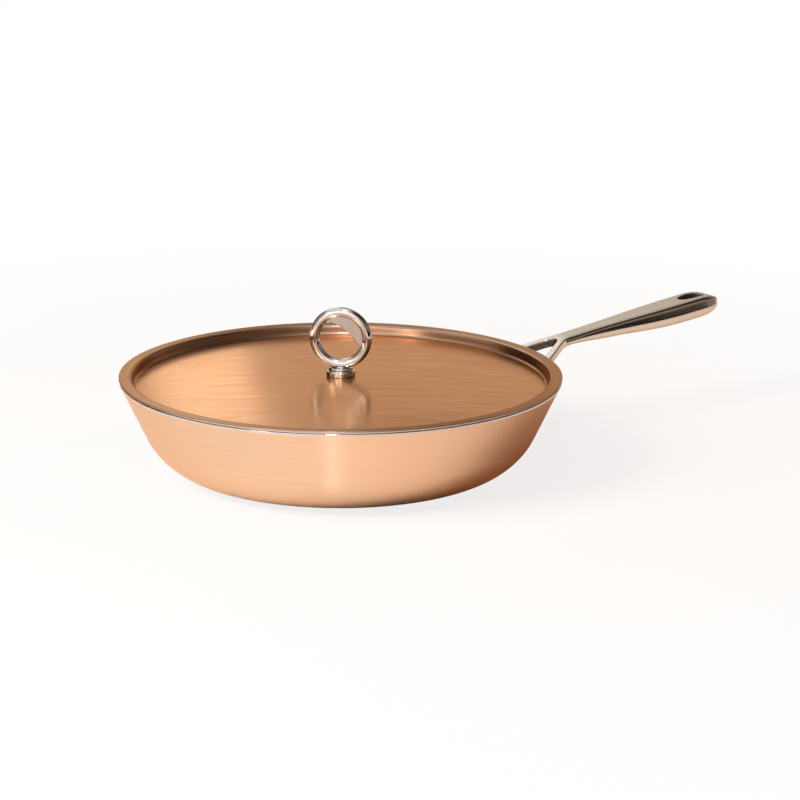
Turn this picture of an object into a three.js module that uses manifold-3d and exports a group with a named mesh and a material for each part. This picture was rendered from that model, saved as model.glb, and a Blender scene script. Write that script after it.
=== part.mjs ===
// Frying pan with a sunken, slightly crowned lid: clad copper pan, forked cast handle, ring knob.
// Millimetres, +Z up. The origin is the centre of the pan's base, on the surface it stands on.
// The handle points along +X.

import * as THREE from 'three';
import { mergeVertices } from 'three/addons/utils/BufferGeometryUtils.js';
import Module from 'manifold-3d';

const wasm = await Module();
wasm.setup();

// Facets
const ROUND_STEPS = 48; // facets round the pan and the lid
const SMALL_STEPS = 20; // facets round the knob's small turned pieces
const RING_STEPS = 40; // facets round the knob's ring
const TUBE_STEPS = 14; // facets round the ring's section
const KNUCKLE_STEPS = 5; // facets in the curve from base to wall
const CORNER_STEPS = 2; // facets in the lid's small bends
const CROWN_STEPS = 4; // facets from the lid's centre to its edge
const GRIP_STATIONS = 20; // sections along the grip
const EDGE_STEPS = 3; // facets in the grip's upper edge
const BELLY_STEPS = 5; // facets in half of the grip's underside
const OUTLINE_STEPS = 6; // facets in each curve of the fork's outline
const MERGE_DISTANCE = 1e-4;
const CUTTER_REACH = 300; // longer than any piece it passes through

// Clearances
const BOND_LINE = 0.05; // between bonded plies
const SEAT_GAP = 0.05; // between flat faces that rest on each other
const FIT_GAP = 0.3; // between turned or cut pieces that touch
const SHANK_GAP = 0.3; // round a screw or rivet in its hole

// Pan
const RIM_RADIUS = 140; // outside of the steel lip
const PAN_HEIGHT = 60.5;
const WALL_FLARE = THREE.MathUtils.degToRad(25.4); // from vertical
const KNUCKLE_RADIUS = 45; // outside curve from base to wall
const COPPER_PLY = 0.9;
const CORE_PLY = 1.4;
const STEEL_PLY = 0.7;
const LIP_HEIGHT = 1.5; // steel lip that caps the other plies
const LIP_PROUD = 0.4; // how far the lip stands out from the copper
const LIP_ROUND = 0.4;

// Lid
const LID_COPPER_PLY = 0.9;
const LID_STEEL_PLY = 0.8;
const LID_OVERHANG = 0.3; // flange past the pan's lip
const FLANGE_WIDTH = 8.7; // from the flange's edge to the recess wall
const FLANGE_ROUND = 0.4;
const RECESS_DEPTH = 6.2; // flange top to the lowest part of the plate
const RECESS_LIP_RADIUS = 2.4;
const RECESS_FILLET_RADIUS = 2.2;
const CROWN_RISE = 5.4; // plate centre above its edge
const LAND_RADIUS = 13; // flat seat for the knob

// Handle
const HANDLE_REACH = 169; // from the pan's lip to the end of the grip
const HANDLE_DROP = 2.9; // line of the grip's top below the rim, carried on to the lip
const START_SLOPE = THREE.MathUtils.degToRad(7.8);
const END_SLOPE = THREE.MathUtils.degToRad(5.7);
const FORK_SLOPE = THREE.MathUtils.degToRad(19.5);
const FORK_BEND = 40; // from the lip to where the fork starts to bend down
const FORK_BEND_LENGTH = 12;
const NECK_DISTANCE = 46; // from the lip to the narrowest part
const NECK_WIDTH = 13.9; // of the flat top
const GRIP_WIDTH = 20;
const GRIP_DISTANCE = 144; // from the lip to the widest part
const NECK_FLARE = 0.5; // widest line outside the top's edge
const GRIP_FLARE = 1.6;
const NECK_SIDE = 4.8; // height of the slanted side
const GRIP_SIDE = 7.6;
const NECK_BELLY = 4.6; // height of the round underside
const GRIP_BELLY = 7.9;
const TOP_EDGE_ROUND = 2.4;
const BELLY_POWER = 0.8; // curve of the underside, lower is squarer
const END_ROUND = 15; // length of the rounded end, seen from above
const NOSE_LENGTH = 22; // length of the rounded end, seen from the side
const NOSE_DROP = 8.5; // from the top's line down to the tip
const CROTCH_DISTANCE = 32; // from the lip to the inside of the fork
const CROTCH_RADIUS = 4.2;
const PRONG_WIDTH = 5.4;
const PRONG_DEPTH = 6;
const PRONG_ANGLE = THREE.MathUtils.degToRad(30); // from the handle's axis
const HANG_HOLE_LENGTH = 21;
const HANG_HOLE_WIDTH = 10.4;
const HANG_HOLE_INSET = 10.5; // from the grip's end to the hole

// Rivets and their pads
const PAD_RADIUS = 9;
const PAD_DEPTH = 4.6;
const RIVET_DROP = 23; // below the rim
const SHANK_RADIUS = 3;
const RIVET_HEAD_RADIUS = 6.2;
const RIVET_HEAD_HEIGHT = 1.7;
const RIVET_TAIL_RADIUS = 4.6;
const RIVET_TAIL_HEIGHT = 1.5;
const RIVET_EDGE_SHARE = 0.35; // straight edge's share of a rivet end's height
const RIVET_CROWN_SHARE = 0.15; // drop of the crown at half its radius

// Knob
const KNOB_TURN = THREE.MathUtils.degToRad(-44.5);
const RING_RADIUS = 16.7; // to the middle of the ring's round section
const RING_TUBE_RADIUS = 3.2;
const WEB_THICKNESS = 3;
const WEB_ARC_RADIUS = 33.2; // inner edge of the web
const WEB_SETBACK = 6.1; // from the ring's centre to the web's edge
const WEB_ANGLE = THREE.MathUtils.degToRad(52.2); // of the web's middle, above the horizontal
const COLLAR_FOOT_RADIUS = 9.2;
const COLLAR_FOOT_HEIGHT = 3;
const COLLAR_NECK_RADIUS = 7.6;
const COLLAR_ROUND = 0.6;
const STEM_HEIGHT = 4.1; // from the lid to the underside of the ring
const STEM_RADIUS = 5;
const STEM_SINK = 0.15; // top of the stem below the collar's top
const SADDLE_RISE = 0.9; // how far the collar reaches up round the ring
const SCREW_RADIUS = 2.9;
const SCREW_ENGAGEMENT = 3.3; // how far the screw runs into the knob's stem
const SCREW_HEAD_RADIUS = 5.6;
const SCREW_CROWN_RADIUS = 4.2; // flat end of the screw's head
const SCREW_HEAD_HEIGHT = 3.2;
const DRIVE_SLOT_WIDTH = 1.4;
const DRIVE_SLOT_DEPTH = 1.5;
const WASHER_RADIUS = 8;
const WASHER_THICKNESS = 1.2;
const LOCK_WASHER_RADIUS = 5.2;
const LOCK_WASHER_THICKNESS = 1.5;
const LOCK_WASHER_GAP = 1.2;

// Values that follow from the sizes above
const CORE_START = COPPER_PLY + BOND_LINE;
const LINER_START = CORE_START + CORE_PLY + BOND_LINE;
const WALL_THICKNESS = LINER_START + STEEL_PLY;
const COPPER_TOP = PAN_HEIGHT - LIP_HEIGHT;
const LID_UNDER_COPPER = LID_COPPER_PLY + BOND_LINE;
const LID_THICKNESS = LID_UNDER_COPPER + LID_STEEL_PLY;
const LID_RADIUS = RIM_RADIUS + LID_OVERHANG;
const FLANGE_TOP = PAN_HEIGHT + SEAT_GAP + LID_THICKNESS;
const PLATE_EDGE = FLANGE_TOP - RECESS_DEPTH;
const LAND_TOP = PLATE_EDGE + CROWN_RISE;
const SCREW_HOLE_RADIUS = SCREW_RADIUS + SHANK_GAP;
const COLLAR_BOTTOM = LAND_TOP + SEAT_GAP;
const RING_BOTTOM = COLLAR_BOTTOM + STEM_HEIGHT;
const COLLAR_TOP = RING_BOTTOM + SADDLE_RISE;
const RING_CENTRE = RING_BOTTOM + RING_TUBE_RADIUS + RING_RADIUS;
const HANDLE_END = RIM_RADIUS + HANDLE_REACH;
const CROTCH_CENTRE = RIM_RADIUS + CROTCH_DISTANCE - CROTCH_RADIUS;
const NECK_PLACE = RIM_RADIUS + NECK_DISTANCE;
const FORK_BEND_PLACE = RIM_RADIUS + FORK_BEND;
const RIVET_HEIGHT = PAN_HEIGHT - RIVET_DROP;

// Materials
function metal(colour, roughness) {
  return new THREE.MeshStandardMaterial({ color: colour, roughness, metalness: 1 });
}

const brushedCopper = () => metal('#d9a078', 0.38);
const aluminium = () => metal('#c9cacc', 0.5);
const satinSteel = () => metal('#cfc8bd', 0.35);
const polishedSteel = () => metal('#d8d6d2', 0.12);
const zincSteel = () => metal('#b9bcc0', 0.4);

// Turns a closed geometry into a solid that can be joined and cut.
function toSolid(geometry) {
  const bare = geometry.clone();
  bare.deleteAttribute('normal');
  bare.deleteAttribute('uv');
  const merged = mergeVertices(bare, MERGE_DISTANCE);
  const corners = merged.index.array;
  const kept = [];
  for (let i = 0; i < corners.length; i += 3) {
    const [a, b, c] = [corners[i], corners[i + 1], corners[i + 2]];
    if (a !== b && b !== c && c !== a) kept.push(a, b, c);
  }
  const vertProperties = new Float32Array(merged.attributes.position.array);
  const mesh = new wasm.Mesh({ numProp: 3, vertProperties, triVerts: new Uint32Array(kept) });
  return new wasm.Manifold(mesh);
}

function toGeometry(solid) {
  const mesh = solid.getMesh();
  const geometry = new THREE.BufferGeometry();
  geometry.setAttribute('position', new THREE.BufferAttribute(mesh.vertProperties, 3));
  geometry.setIndex(new THREE.BufferAttribute(mesh.triVerts, 1));
  geometry.computeVertexNormals();
  return geometry;
}

function piece(name, solid, material) {
  const mesh = new THREE.Mesh(toGeometry(solid), material);
  mesh.name = name;
  return mesh;
}

// Points on an arc in the (radius, height) plane, with both ends.
function arcPoints(centreRadius, centreHeight, radius, startAngle, endAngle, steps) {
  const points = [];
  for (let i = 0; i <= steps; i += 1) {
    const angle = startAngle + ((endAngle - startAngle) * i) / steps;
    const r = centreRadius + radius * Math.cos(angle);
    points.push(new THREE.Vector2(r, centreHeight + radius * Math.sin(angle)));
  }
  return points;
}

// Spins a closed outline of (radius, height) points about +Z.
function turned(outline, steps) {
  const first = outline[0];
  const closed = first.x === 0 ? outline : [...outline, first.clone()];
  const geometry = new THREE.LatheGeometry(closed, steps);
  geometry.rotateX(Math.PI / 2);
  return toSolid(geometry);
}

function cylinder(radius, height, steps) {
  const geometry = new THREE.CylinderGeometry(radius, radius, height, steps);
  geometry.rotateX(Math.PI / 2);
  return geometry;
}

// Pan

// Outside radius of the copper wall, carried on as a straight line to any height.
function wallRadius(height) {
  return RIM_RADIUS - LIP_PROUD - (COPPER_TOP - height) * Math.tan(WALL_FLARE);
}

// A surface of the pan, a given depth inside its outside, from the axis up to a height.
function panSurface(depth, top) {
  const knuckleReach = (KNUCKLE_RADIUS * (1 - Math.sin(WALL_FLARE))) / Math.cos(WALL_FLARE);
  const flatRadius = wallRadius(0) - knuckleReach;
  const bend = KNUCKLE_RADIUS - depth;
  return [
    new THREE.Vector2(0, depth),
    ...arcPoints(flatRadius, KNUCKLE_RADIUS, bend, -Math.PI / 2, -WALL_FLARE, KNUCKLE_STEPS),
    new THREE.Vector2(wallRadius(top) - depth / Math.cos(WALL_FLARE), top),
  ];
}

function panPly(start, thickness) {
  const outside = panSurface(start, COPPER_TOP);
  const inside = panSurface(start + thickness, COPPER_TOP);
  return turned([...outside, ...inside.reverse()], ROUND_STEPS);
}

// The steel liner carries a lip that turns out over the edges of the other plies.
function panLiner() {
  const underLip = COPPER_TOP + BOND_LINE;
  const outline = [
    ...panSurface(LINER_START, underLip),
    new THREE.Vector2(RIM_RADIUS, underLip),
    new THREE.Vector2(RIM_RADIUS, PAN_HEIGHT - LIP_ROUND),
    new THREE.Vector2(RIM_RADIUS - LIP_ROUND, PAN_HEIGHT),
    ...panSurface(WALL_THICKNESS, PAN_HEIGHT).reverse(),
  ];
  return turned(outline, ROUND_STEPS);
}

// Rivets stand square to the wall, one at the end of each prong.

// Angle round the pan at which a prong's middle line meets the wall at the rivet's height.
function rivetAngle() {
  const lineToAxis = CROTCH_RADIUS + PRONG_WIDTH / 2 + CROTCH_CENTRE * Math.sin(PRONG_ANGLE);
  return Math.asin(lineToAxis / wallRadius(RIVET_HEIGHT)) - PRONG_ANGLE;
}

// A frame on the wall at the rivet, with +Z out of the wall along the rivet.
function rivetFrame(side) {
  const angle = side * rivetAngle();
  const radius = wallRadius(RIVET_HEIGHT);
  const across = new THREE.Vector3(-Math.sin(angle), Math.cos(angle), 0);
  const outward = new THREE.Vector3(
    Math.cos(WALL_FLARE) * Math.cos(angle),
    Math.cos(WALL_FLARE) * Math.sin(angle),
    -Math.sin(WALL_FLARE),
  );
  const up = new THREE.Vector3().crossVectors(outward, across);
  const frame = new THREE.Matrix4().makeBasis(across, up, outward);
  frame.setPosition(radius * Math.cos(angle), radius * Math.sin(angle), RIVET_HEIGHT);
  return frame;
}

function rivetHole(side) {
  const reach = WALL_THICKNESS + PAD_DEPTH + RIVET_HEAD_HEIGHT + RIVET_TAIL_HEIGHT;
  const geometry = cylinder(SHANK_RADIUS + SHANK_GAP, 2 * reach, SMALL_STEPS);
  geometry.applyMatrix4(rivetFrame(side));
  return toSolid(geometry);
}

const SIDES = { left: 1, right: -1 };
const rivetHoles = Object.values(SIDES).map(rivetHole);

function withRivetHoles(solid) {
  return rivetHoles.reduce((cut, hole) => cut.subtract(hole), solid);
}

// The pan's whole wall with a clearance on both sides, as a cutter.
function panWall(clearance) {
  const outside = panSurface(-clearance, PAN_HEIGHT);
  const inside = panSurface(WALL_THICKNESS + clearance, PAN_HEIGHT);
  return turned([...outside, ...inside.reverse()], ROUND_STEPS);
}

// A low crowned disc, from its flat face to its crown, along the rivet.
function rivetEnd(radius, face, crown) {
  const outline = [
    new THREE.Vector2(0, face),
    new THREE.Vector2(radius, face),
    new THREE.Vector2(radius, face + (crown - face) * RIVET_EDGE_SHARE),
    new THREE.Vector2(radius / 2, crown - (crown - face) * RIVET_CROWN_SHARE),
    new THREE.Vector2(0, crown),
  ];
  return turned(crown > face ? outline : outline.reverse(), SMALL_STEPS);
}

// The head inside the pan is shaped to the wall, and the tail lies flat on the pad.
function rivet(name, side) {
  const frame = rivetFrame(side);
  const onWall = (solid) => toSolid(toGeometry(solid).applyMatrix4(frame));
  const headCrown = -WALL_THICKNESS - FIT_GAP - RIVET_HEAD_HEIGHT;
  const tailFace = PAD_DEPTH + FIT_GAP;
  const head = onWall(rivetEnd(RIVET_HEAD_RADIUS, -WALL_THICKNESS / 2, headCrown));
  const tail = onWall(rivetEnd(RIVET_TAIL_RADIUS, tailFace, tailFace + RIVET_TAIL_HEIGHT));
  const shankStart = headCrown + RIVET_HEAD_HEIGHT / 2;
  const shankEnd = tailFace + RIVET_TAIL_HEIGHT / 2;
  const shank = cylinder(SHANK_RADIUS, shankEnd - shankStart, SMALL_STEPS);
  shank.translate(0, 0, (shankStart + shankEnd) / 2);
  shank.applyMatrix4(frame);
  const solid = head.subtract(panWall(FIT_GAP)).add(toSolid(shank)).add(tail);
  return piece(name, solid, polishedSteel());
}

// Handle

// How far the fork dips below the line of the grip's top, with an eased start.
function forkDip(x) {
  const before = Math.max(0, FORK_BEND_PLACE - x);
  const eased = Math.min(before, FORK_BEND_LENGTH);
  const straight = before - eased;
  const steeper = Math.tan(FORK_SLOPE) - Math.tan(START_SLOPE);
  return steeper * (eased ** 2 / (2 * FORK_BEND_LENGTH) + straight);
}

// Height of the handle's flat top at a distance x from the pan's axis.
function handleTop(x) {
  const run = x - RIM_RADIUS;
  const bend = (Math.tan(END_SLOPE) - Math.tan(START_SLOPE)) / (2 * HANDLE_REACH);
  const line = run * Math.tan(START_SLOPE) + run * run * bend;
  return PAN_HEIGHT - HANDLE_DROP + line - forkDip(x);
}

// Share of the way from the neck to the widest part, eased at both ends.
function gripShare(x) {
  return THREE.MathUtils.smootherstep(x, NECK_PLACE, RIM_RADIUS + GRIP_DISTANCE);
}

// Share left of the full section towards an end that is rounded over a length.
function endShare(x, length) {
  const past = Math.max(0, x - (HANDLE_END - length)) / length;
  return Math.sqrt(Math.max(0, 1 - past * past));
}

// One half of a section as offsets from the middle of its top, from the top to the underside.
function halfSection(x) {
  const share = gripShare(x);
  const edge = THREE.MathUtils.lerp(NECK_WIDTH, GRIP_WIDTH, share) / 2;
  const flare = THREE.MathUtils.lerp(NECK_FLARE, GRIP_FLARE, share);
  const side = THREE.MathUtils.lerp(NECK_SIDE, GRIP_SIDE, share);
  const belly = THREE.MathUtils.lerp(NECK_BELLY, GRIP_BELLY, share);
  const corner = new THREE.QuadraticBezierCurve(
    new THREE.Vector2(edge - TOP_EDGE_ROUND, 0),
    new THREE.Vector2(edge, 0),
    new THREE.Vector2(edge + (flare * TOP_EDGE_ROUND) / side, -TOP_EDGE_ROUND),
  );
  const points = corner.getPoints(EDGE_STEPS);
  for (let i = 0; i < BELLY_STEPS; i += 1) {
    const angle = (Math.PI / 2) * (i / BELLY_STEPS);
    const across = (edge + flare) * Math.cos(angle) ** BELLY_POWER;
    points.push(new THREE.Vector2(across, -side - belly * Math.sin(angle) ** BELLY_POWER));
  }
  points.push(new THREE.Vector2(0, -side - belly));
  return points;
}

// One closed section: flat top, slanted sides, round underside, shrunk towards the tip.
function gripSection(x) {
  const narrow = endShare(x, END_ROUND);
  const low = endShare(x, NOSE_LENGTH);
  const top = handleTop(x);
  const half = halfSection(x);
  const place = ({ x: across, y: drop }, side) =>
    new THREE.Vector3(x, side * across * narrow, top - NOSE_DROP + (drop + NOSE_DROP) * low);
  const left = half.map((point) => place(point, 1));
  const right = half.slice(0, -1).map((point) => place(point, -1));
  return [...left.reverse(), ...right];
}

// Joins sections of equal point count into a closed solid with flat ends.
function loft(sections) {
  const count = sections[0].length;
  const positions = sections.flat().flatMap((point) => point.toArray());
  const index = [];
  for (let s = 0; s < sections.length - 1; s += 1) {
    for (let i = 0; i < count; i += 1) {
      const a = s * count + i;
      const b = s * count + ((i + 1) % count);
      index.push(a, b, a + count, b, b + count, a + count);
    }
  }
  const last = (sections.length - 1) * count;
  for (let i = 1; i < count - 1; i += 1) {
    index.push(0, i + 1, i);
    index.push(last, last + i, last + i + 1);
  }
  const geometry = new THREE.BufferGeometry();
  geometry.setAttribute('position', new THREE.Float32BufferAttribute(positions, 3));
  geometry.setIndex(index);
  return toSolid(geometry);
}

function grip() {
  const start = RIM_RADIUS + CROTCH_DISTANCE + PRONG_WIDTH / 2;
  const straight = HANDLE_END - NOSE_LENGTH;
  const halfStations = GRIP_STATIONS / 2;
  const sections = [];
  for (let i = 0; i < halfStations; i += 1) {
    sections.push(gripSection(start + ((straight - start) * i) / halfStations));
  }
  for (let i = 0; i < halfStations; i += 1) {
    const turn = (Math.PI / 2) * (i / halfStations);
    sections.push(gripSection(straight + NOSE_LENGTH * Math.sin(turn)));
  }
  return loft(sections);
}

// Plan of the fork: the neck, two straight prongs and a round crotch between them.
function forkPlan() {
  const outerRadius = CROTCH_RADIUS + PRONG_WIDTH;
  const inside = RIM_RADIUS - PAD_RADIUS - PRONG_WIDTH;
  const lineAt = (radius, x) =>
    radius / Math.cos(PRONG_ANGLE) + (CROTCH_CENTRE - x) * Math.tan(PRONG_ANGLE);
  const onArc = (radius) => [
    CROTCH_CENTRE + radius * Math.sin(PRONG_ANGLE),
    radius * Math.cos(PRONG_ANGLE),
  ];
  const [outerX, outerY] = onArc(outerRadius);
  const [innerX, innerY] = onArc(CROTCH_RADIUS);
  const bendY = (NECK_WIDTH - TOP_EDGE_ROUND) / 2;
  const bendX = outerX + (outerY - bendY) / Math.tan(PRONG_ANGLE);
  const plan = new THREE.Shape();
  plan.moveTo(inside, -lineAt(outerRadius, inside));
  plan.lineTo(outerX, -outerY);
  plan.quadraticCurveTo(bendX, -bendY, NECK_PLACE, -bendY);
  plan.lineTo(NECK_PLACE, bendY);
  plan.quadraticCurveTo(bendX, bendY, outerX, outerY);
  plan.lineTo(inside, lineAt(outerRadius, inside));
  plan.lineTo(inside, lineAt(CROTCH_RADIUS, inside));
  plan.lineTo(innerX, innerY);
  const edge = Math.PI / 2 - PRONG_ANGLE;
  plan.absarc(CROTCH_CENTRE, 0, CROTCH_RADIUS, edge, -edge, true);
  plan.lineTo(inside, -lineAt(CROTCH_RADIUS, inside));
  plan.closePath();
  return plan;
}

// Side view of the fork: the handle's top line and a line a prong's depth below it.
function forkSide() {
  const inside = RIM_RADIUS - PAD_RADIUS - 2 * PRONG_WIDTH;
  const outside = NECK_PLACE + PRONG_WIDTH;
  const side = new THREE.Shape();
  side.moveTo(inside, handleTop(inside));
  for (let i = 1; i <= OUTLINE_STEPS; i += 1) {
    const x = inside + ((outside - inside) * i) / OUTLINE_STEPS;
    side.lineTo(x, handleTop(x));
  }
  for (let i = OUTLINE_STEPS; i >= 0; i -= 1) {
    const x = inside + ((outside - inside) * i) / OUTLINE_STEPS;
    side.lineTo(x, handleTop(x) - PRONG_DEPTH);
  }
  side.closePath();
  return side;
}

function fork() {
  const options = { depth: CUTTER_REACH, bevelEnabled: false, curveSegments: OUTLINE_STEPS };
  const planGeometry = new THREE.ExtrudeGeometry(forkPlan(), options);
  const sideGeometry = new THREE.ExtrudeGeometry(forkSide(), options);
  sideGeometry.rotateX(Math.PI / 2);
  sideGeometry.translate(0, CUTTER_REACH / 2, 0);
  return toSolid(planGeometry).intersect(toSolid(sideGeometry));
}

// A round pad on the wall under each prong's end.
function pad(side) {
  const geometry = cylinder(PAD_RADIUS, 2 * PAD_DEPTH, SMALL_STEPS);
  geometry.applyMatrix4(rivetFrame(side));
  return toSolid(geometry);
}

// The pan's outside with a small clearance, closed over the top, as a cutter.
function panEnvelope() {
  const outline = [...panSurface(-FIT_GAP, CUTTER_REACH), new THREE.Vector2(0, CUTTER_REACH)];
  return turned(outline, ROUND_STEPS);
}

function hangingHole() {
  const hole = new THREE.Shape();
  const centre = HANDLE_END - HANG_HOLE_INSET - HANG_HOLE_LENGTH / 2;
  hole.absellipse(centre, 0, HANG_HOLE_LENGTH / 2, HANG_HOLE_WIDTH / 2, 0, 2 * Math.PI);
  const options = { depth: CUTTER_REACH, bevelEnabled: false, curveSegments: SMALL_STEPS };
  return toSolid(new THREE.ExtrudeGeometry(hole, options));
}

function handle() {
  const pads = Object.values(SIDES).map(pad);
  const casting = pads.reduce((whole, next) => whole.add(next), grip().add(fork()));
  return withRivetHoles(casting.subtract(panEnvelope()).subtract(hangingHole()));
}

// Lid

// A surface of the lid, a given depth below its top, from the screw hole out to the flange.
function lidSurface(depth) {
  const wall = LID_RADIUS - FLANGE_WIDTH;
  const plateEnd = wall - RECESS_FILLET_RADIUS;
  const points = [new THREE.Vector2(SCREW_HOLE_RADIUS, LAND_TOP - depth)];
  for (let i = 0; i < CROWN_STEPS; i += 1) {
    const share = i / CROWN_STEPS;
    const r = LAND_RADIUS + (plateEnd - LAND_RADIUS) * share;
    points.push(new THREE.Vector2(r, LAND_TOP - CROWN_RISE * share * share - depth));
  }
  points.push(
    ...arcPoints(
      plateEnd,
      PLATE_EDGE + RECESS_FILLET_RADIUS,
      RECESS_FILLET_RADIUS + depth,
      -Math.PI / 2,
      0,
      CORNER_STEPS,
    ),
    ...arcPoints(
      wall + RECESS_LIP_RADIUS,
      FLANGE_TOP - RECESS_LIP_RADIUS,
      RECESS_LIP_RADIUS - depth,
      Math.PI,
      Math.PI / 2,
      CORNER_STEPS,
    ),
  );
  return points;
}

function lidCover() {
  const outline = [
    ...lidSurface(LID_COPPER_PLY),
    new THREE.Vector2(LID_RADIUS, FLANGE_TOP - LID_COPPER_PLY),
    new THREE.Vector2(LID_RADIUS, FLANGE_TOP - FLANGE_ROUND),
    new THREE.Vector2(LID_RADIUS - FLANGE_ROUND, FLANGE_TOP),
    ...lidSurface(0).reverse(),
  ];
  return turned(outline, ROUND_STEPS);
}

function lidLiner() {
  const outline = [
    ...lidSurface(LID_THICKNESS),
    new THREE.Vector2(LID_RADIUS, FLANGE_TOP - LID_THICKNESS),
    new THREE.Vector2(LID_RADIUS, FLANGE_TOP - LID_UNDER_COPPER),
    ...lidSurface(LID_UNDER_COPPER).reverse(),
  ];
  return turned(outline, ROUND_STEPS);
}

// Knob, in a frame with +Y along the ring's bore and the ring's centre on the Z axis

function ringTorus(tubeRadius) {
  const geometry = new THREE.TorusGeometry(RING_RADIUS, tubeRadius, TUBE_STEPS, RING_STEPS);
  geometry.rotateX(Math.PI / 2);
  geometry.translate(0, 0, RING_CENTRE);
  return toSolid(geometry);
}

// A flat web that closes one side of the bore, up to a shallow arc.
function ringWeb() {
  const disc = new THREE.CylinderGeometry(RING_RADIUS, RING_RADIUS, WEB_THICKNESS, RING_STEPS);
  disc.translate(0, 0, RING_CENTRE);
  const opening = new THREE.CylinderGeometry(
    WEB_ARC_RADIUS,
    WEB_ARC_RADIUS,
    CUTTER_REACH,
    ROUND_STEPS,
  );
  const back = WEB_ARC_RADIUS - WEB_SETBACK;
  opening.translate(-back * Math.cos(WEB_ANGLE), 0, RING_CENTRE - back * Math.sin(WEB_ANGLE));
  return toSolid(disc).subtract(toSolid(opening));
}

// The stem under the ring is drilled for the screw.
function ringStem() {
  const bottom = COLLAR_BOTTOM + FIT_GAP;
  const top = COLLAR_TOP - STEM_SINK;
  const drilled = bottom + SCREW_ENGAGEMENT + SHANK_GAP;
  const outline = [
    new THREE.Vector2(0, drilled),
    new THREE.Vector2(SCREW_HOLE_RADIUS, drilled),
    new THREE.Vector2(SCREW_HOLE_RADIUS, bottom),
    new THREE.Vector2(STEM_RADIUS, bottom),
    new THREE.Vector2(STEM_RADIUS, top),
    new THREE.Vector2(0, top),
  ];
  return turned(outline, SMALL_STEPS);
}

function knobRing() {
  return ringTorus(RING_TUBE_RADIUS).add(ringWeb()).add(ringStem());
}

function knobCollar() {
  const bore = STEM_RADIUS + FIT_GAP;
  const foot = COLLAR_BOTTOM + COLLAR_FOOT_HEIGHT;
  const outline = [
    new THREE.Vector2(bore, COLLAR_BOTTOM),
    new THREE.Vector2(COLLAR_FOOT_RADIUS - COLLAR_ROUND, COLLAR_BOTTOM),
    new THREE.Vector2(COLLAR_FOOT_RADIUS, COLLAR_BOTTOM + COLLAR_ROUND),
    new THREE.Vector2(COLLAR_FOOT_RADIUS, foot - COLLAR_ROUND),
    new THREE.Vector2(COLLAR_FOOT_RADIUS - COLLAR_ROUND, foot),
    new THREE.Vector2(COLLAR_NECK_RADIUS, foot),
    new THREE.Vector2(COLLAR_NECK_RADIUS, COLLAR_TOP),
    new THREE.Vector2(bore, COLLAR_TOP),
  ];
  return turned(outline, SMALL_STEPS).subtract(ringTorus(RING_TUBE_RADIUS + FIT_GAP));
}

// Fixing under the lid: flat washer, split lock washer, slotted screw
const WASHER_TOP = LAND_TOP - LID_THICKNESS - SEAT_GAP;
const LOCK_WASHER_TOP = WASHER_TOP - WASHER_THICKNESS - SEAT_GAP;
const SCREW_SEAT = LOCK_WASHER_TOP - LOCK_WASHER_THICKNESS - SEAT_GAP;

function washer(radius, top, thickness) {
  const outline = [
    new THREE.Vector2(SCREW_HOLE_RADIUS, top - thickness),
    new THREE.Vector2(radius, top - thickness),
    new THREE.Vector2(radius, top),
    new THREE.Vector2(SCREW_HOLE_RADIUS, top),
  ];
  return turned(outline, SMALL_STEPS);
}

function lockWasher() {
  const gap = new THREE.BoxGeometry(CUTTER_REACH, LOCK_WASHER_GAP, CUTTER_REACH);
  gap.translate(CUTTER_REACH / 2, 0, 0);
  const whole = washer(LOCK_WASHER_RADIUS, LOCK_WASHER_TOP, LOCK_WASHER_THICKNESS);
  return whole.subtract(toSolid(gap));
}

function knobScrew() {
  const tip = COLLAR_BOTTOM + FIT_GAP + SCREW_ENGAGEMENT;
  const crown = SCREW_SEAT - SCREW_HEAD_HEIGHT;
  const outline = [
    new THREE.Vector2(0, crown),
    new THREE.Vector2(SCREW_CROWN_RADIUS, crown),
    new THREE.Vector2(SCREW_HEAD_RADIUS, crown + SCREW_HEAD_HEIGHT / 2),
    new THREE.Vector2(SCREW_HEAD_RADIUS, SCREW_SEAT),
    new THREE.Vector2(SCREW_RADIUS, SCREW_SEAT),
    new THREE.Vector2(SCREW_RADIUS, tip),
    new THREE.Vector2(0, tip),
  ];
  const slot = new THREE.BoxGeometry(CUTTER_REACH, DRIVE_SLOT_WIDTH, 2 * DRIVE_SLOT_DEPTH);
  slot.translate(0, 0, crown);
  return turned(outline, SMALL_STEPS).subtract(toSolid(slot));
}

// Assembly

const pan = new THREE.Group();
pan.add(
  piece('pan_copper_shell', withRivetHoles(panPly(0, COPPER_PLY)), brushedCopper()),
  piece('pan_aluminium_core', withRivetHoles(panPly(CORE_START, CORE_PLY)), aluminium()),
  piece('pan_steel_liner', withRivetHoles(panLiner()), satinSteel()),
  piece('handle_casting', handle(), satinSteel()),
);
for (const [name, side] of Object.entries(SIDES)) {
  pan.add(rivet(`handle_rivet_${name}`, side));
}

const knob = new THREE.Group();
knob.rotation.z = KNOB_TURN;
knob.add(
  piece('knob_ring', knobRing(), polishedSteel()),
  piece('knob_collar', knobCollar(), polishedSteel()),
);

const lid = new THREE.Group();
lid.add(
  piece('lid_copper_cover', lidCover(), brushedCopper()),
  piece('lid_steel_liner', lidLiner(), satinSteel()),
  piece('knob_flat_washer', washer(WASHER_RADIUS, WASHER_TOP, WASHER_THICKNESS), zincSteel()),
  piece('knob_lock_washer', lockWasher(), zincSteel()),
  piece('knob_screw', knobScrew(), zincSteel()),
  knob,
);

const fryingPan = new THREE.Group();
fryingPan.add(pan, lid);

export default fryingPan;
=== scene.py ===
"""Looks of a clad copper frying pan with a sunken lid, a forked handle and a ring knob.

Sizes are in millimetres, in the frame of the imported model: the origin is the centre of the
pan's base, +Z is up and the handle points along +X. Meshes are made in metres.
"""

import logging
import math
from collections.abc import Callable
from dataclasses import dataclass, field
from enum import Enum

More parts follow.
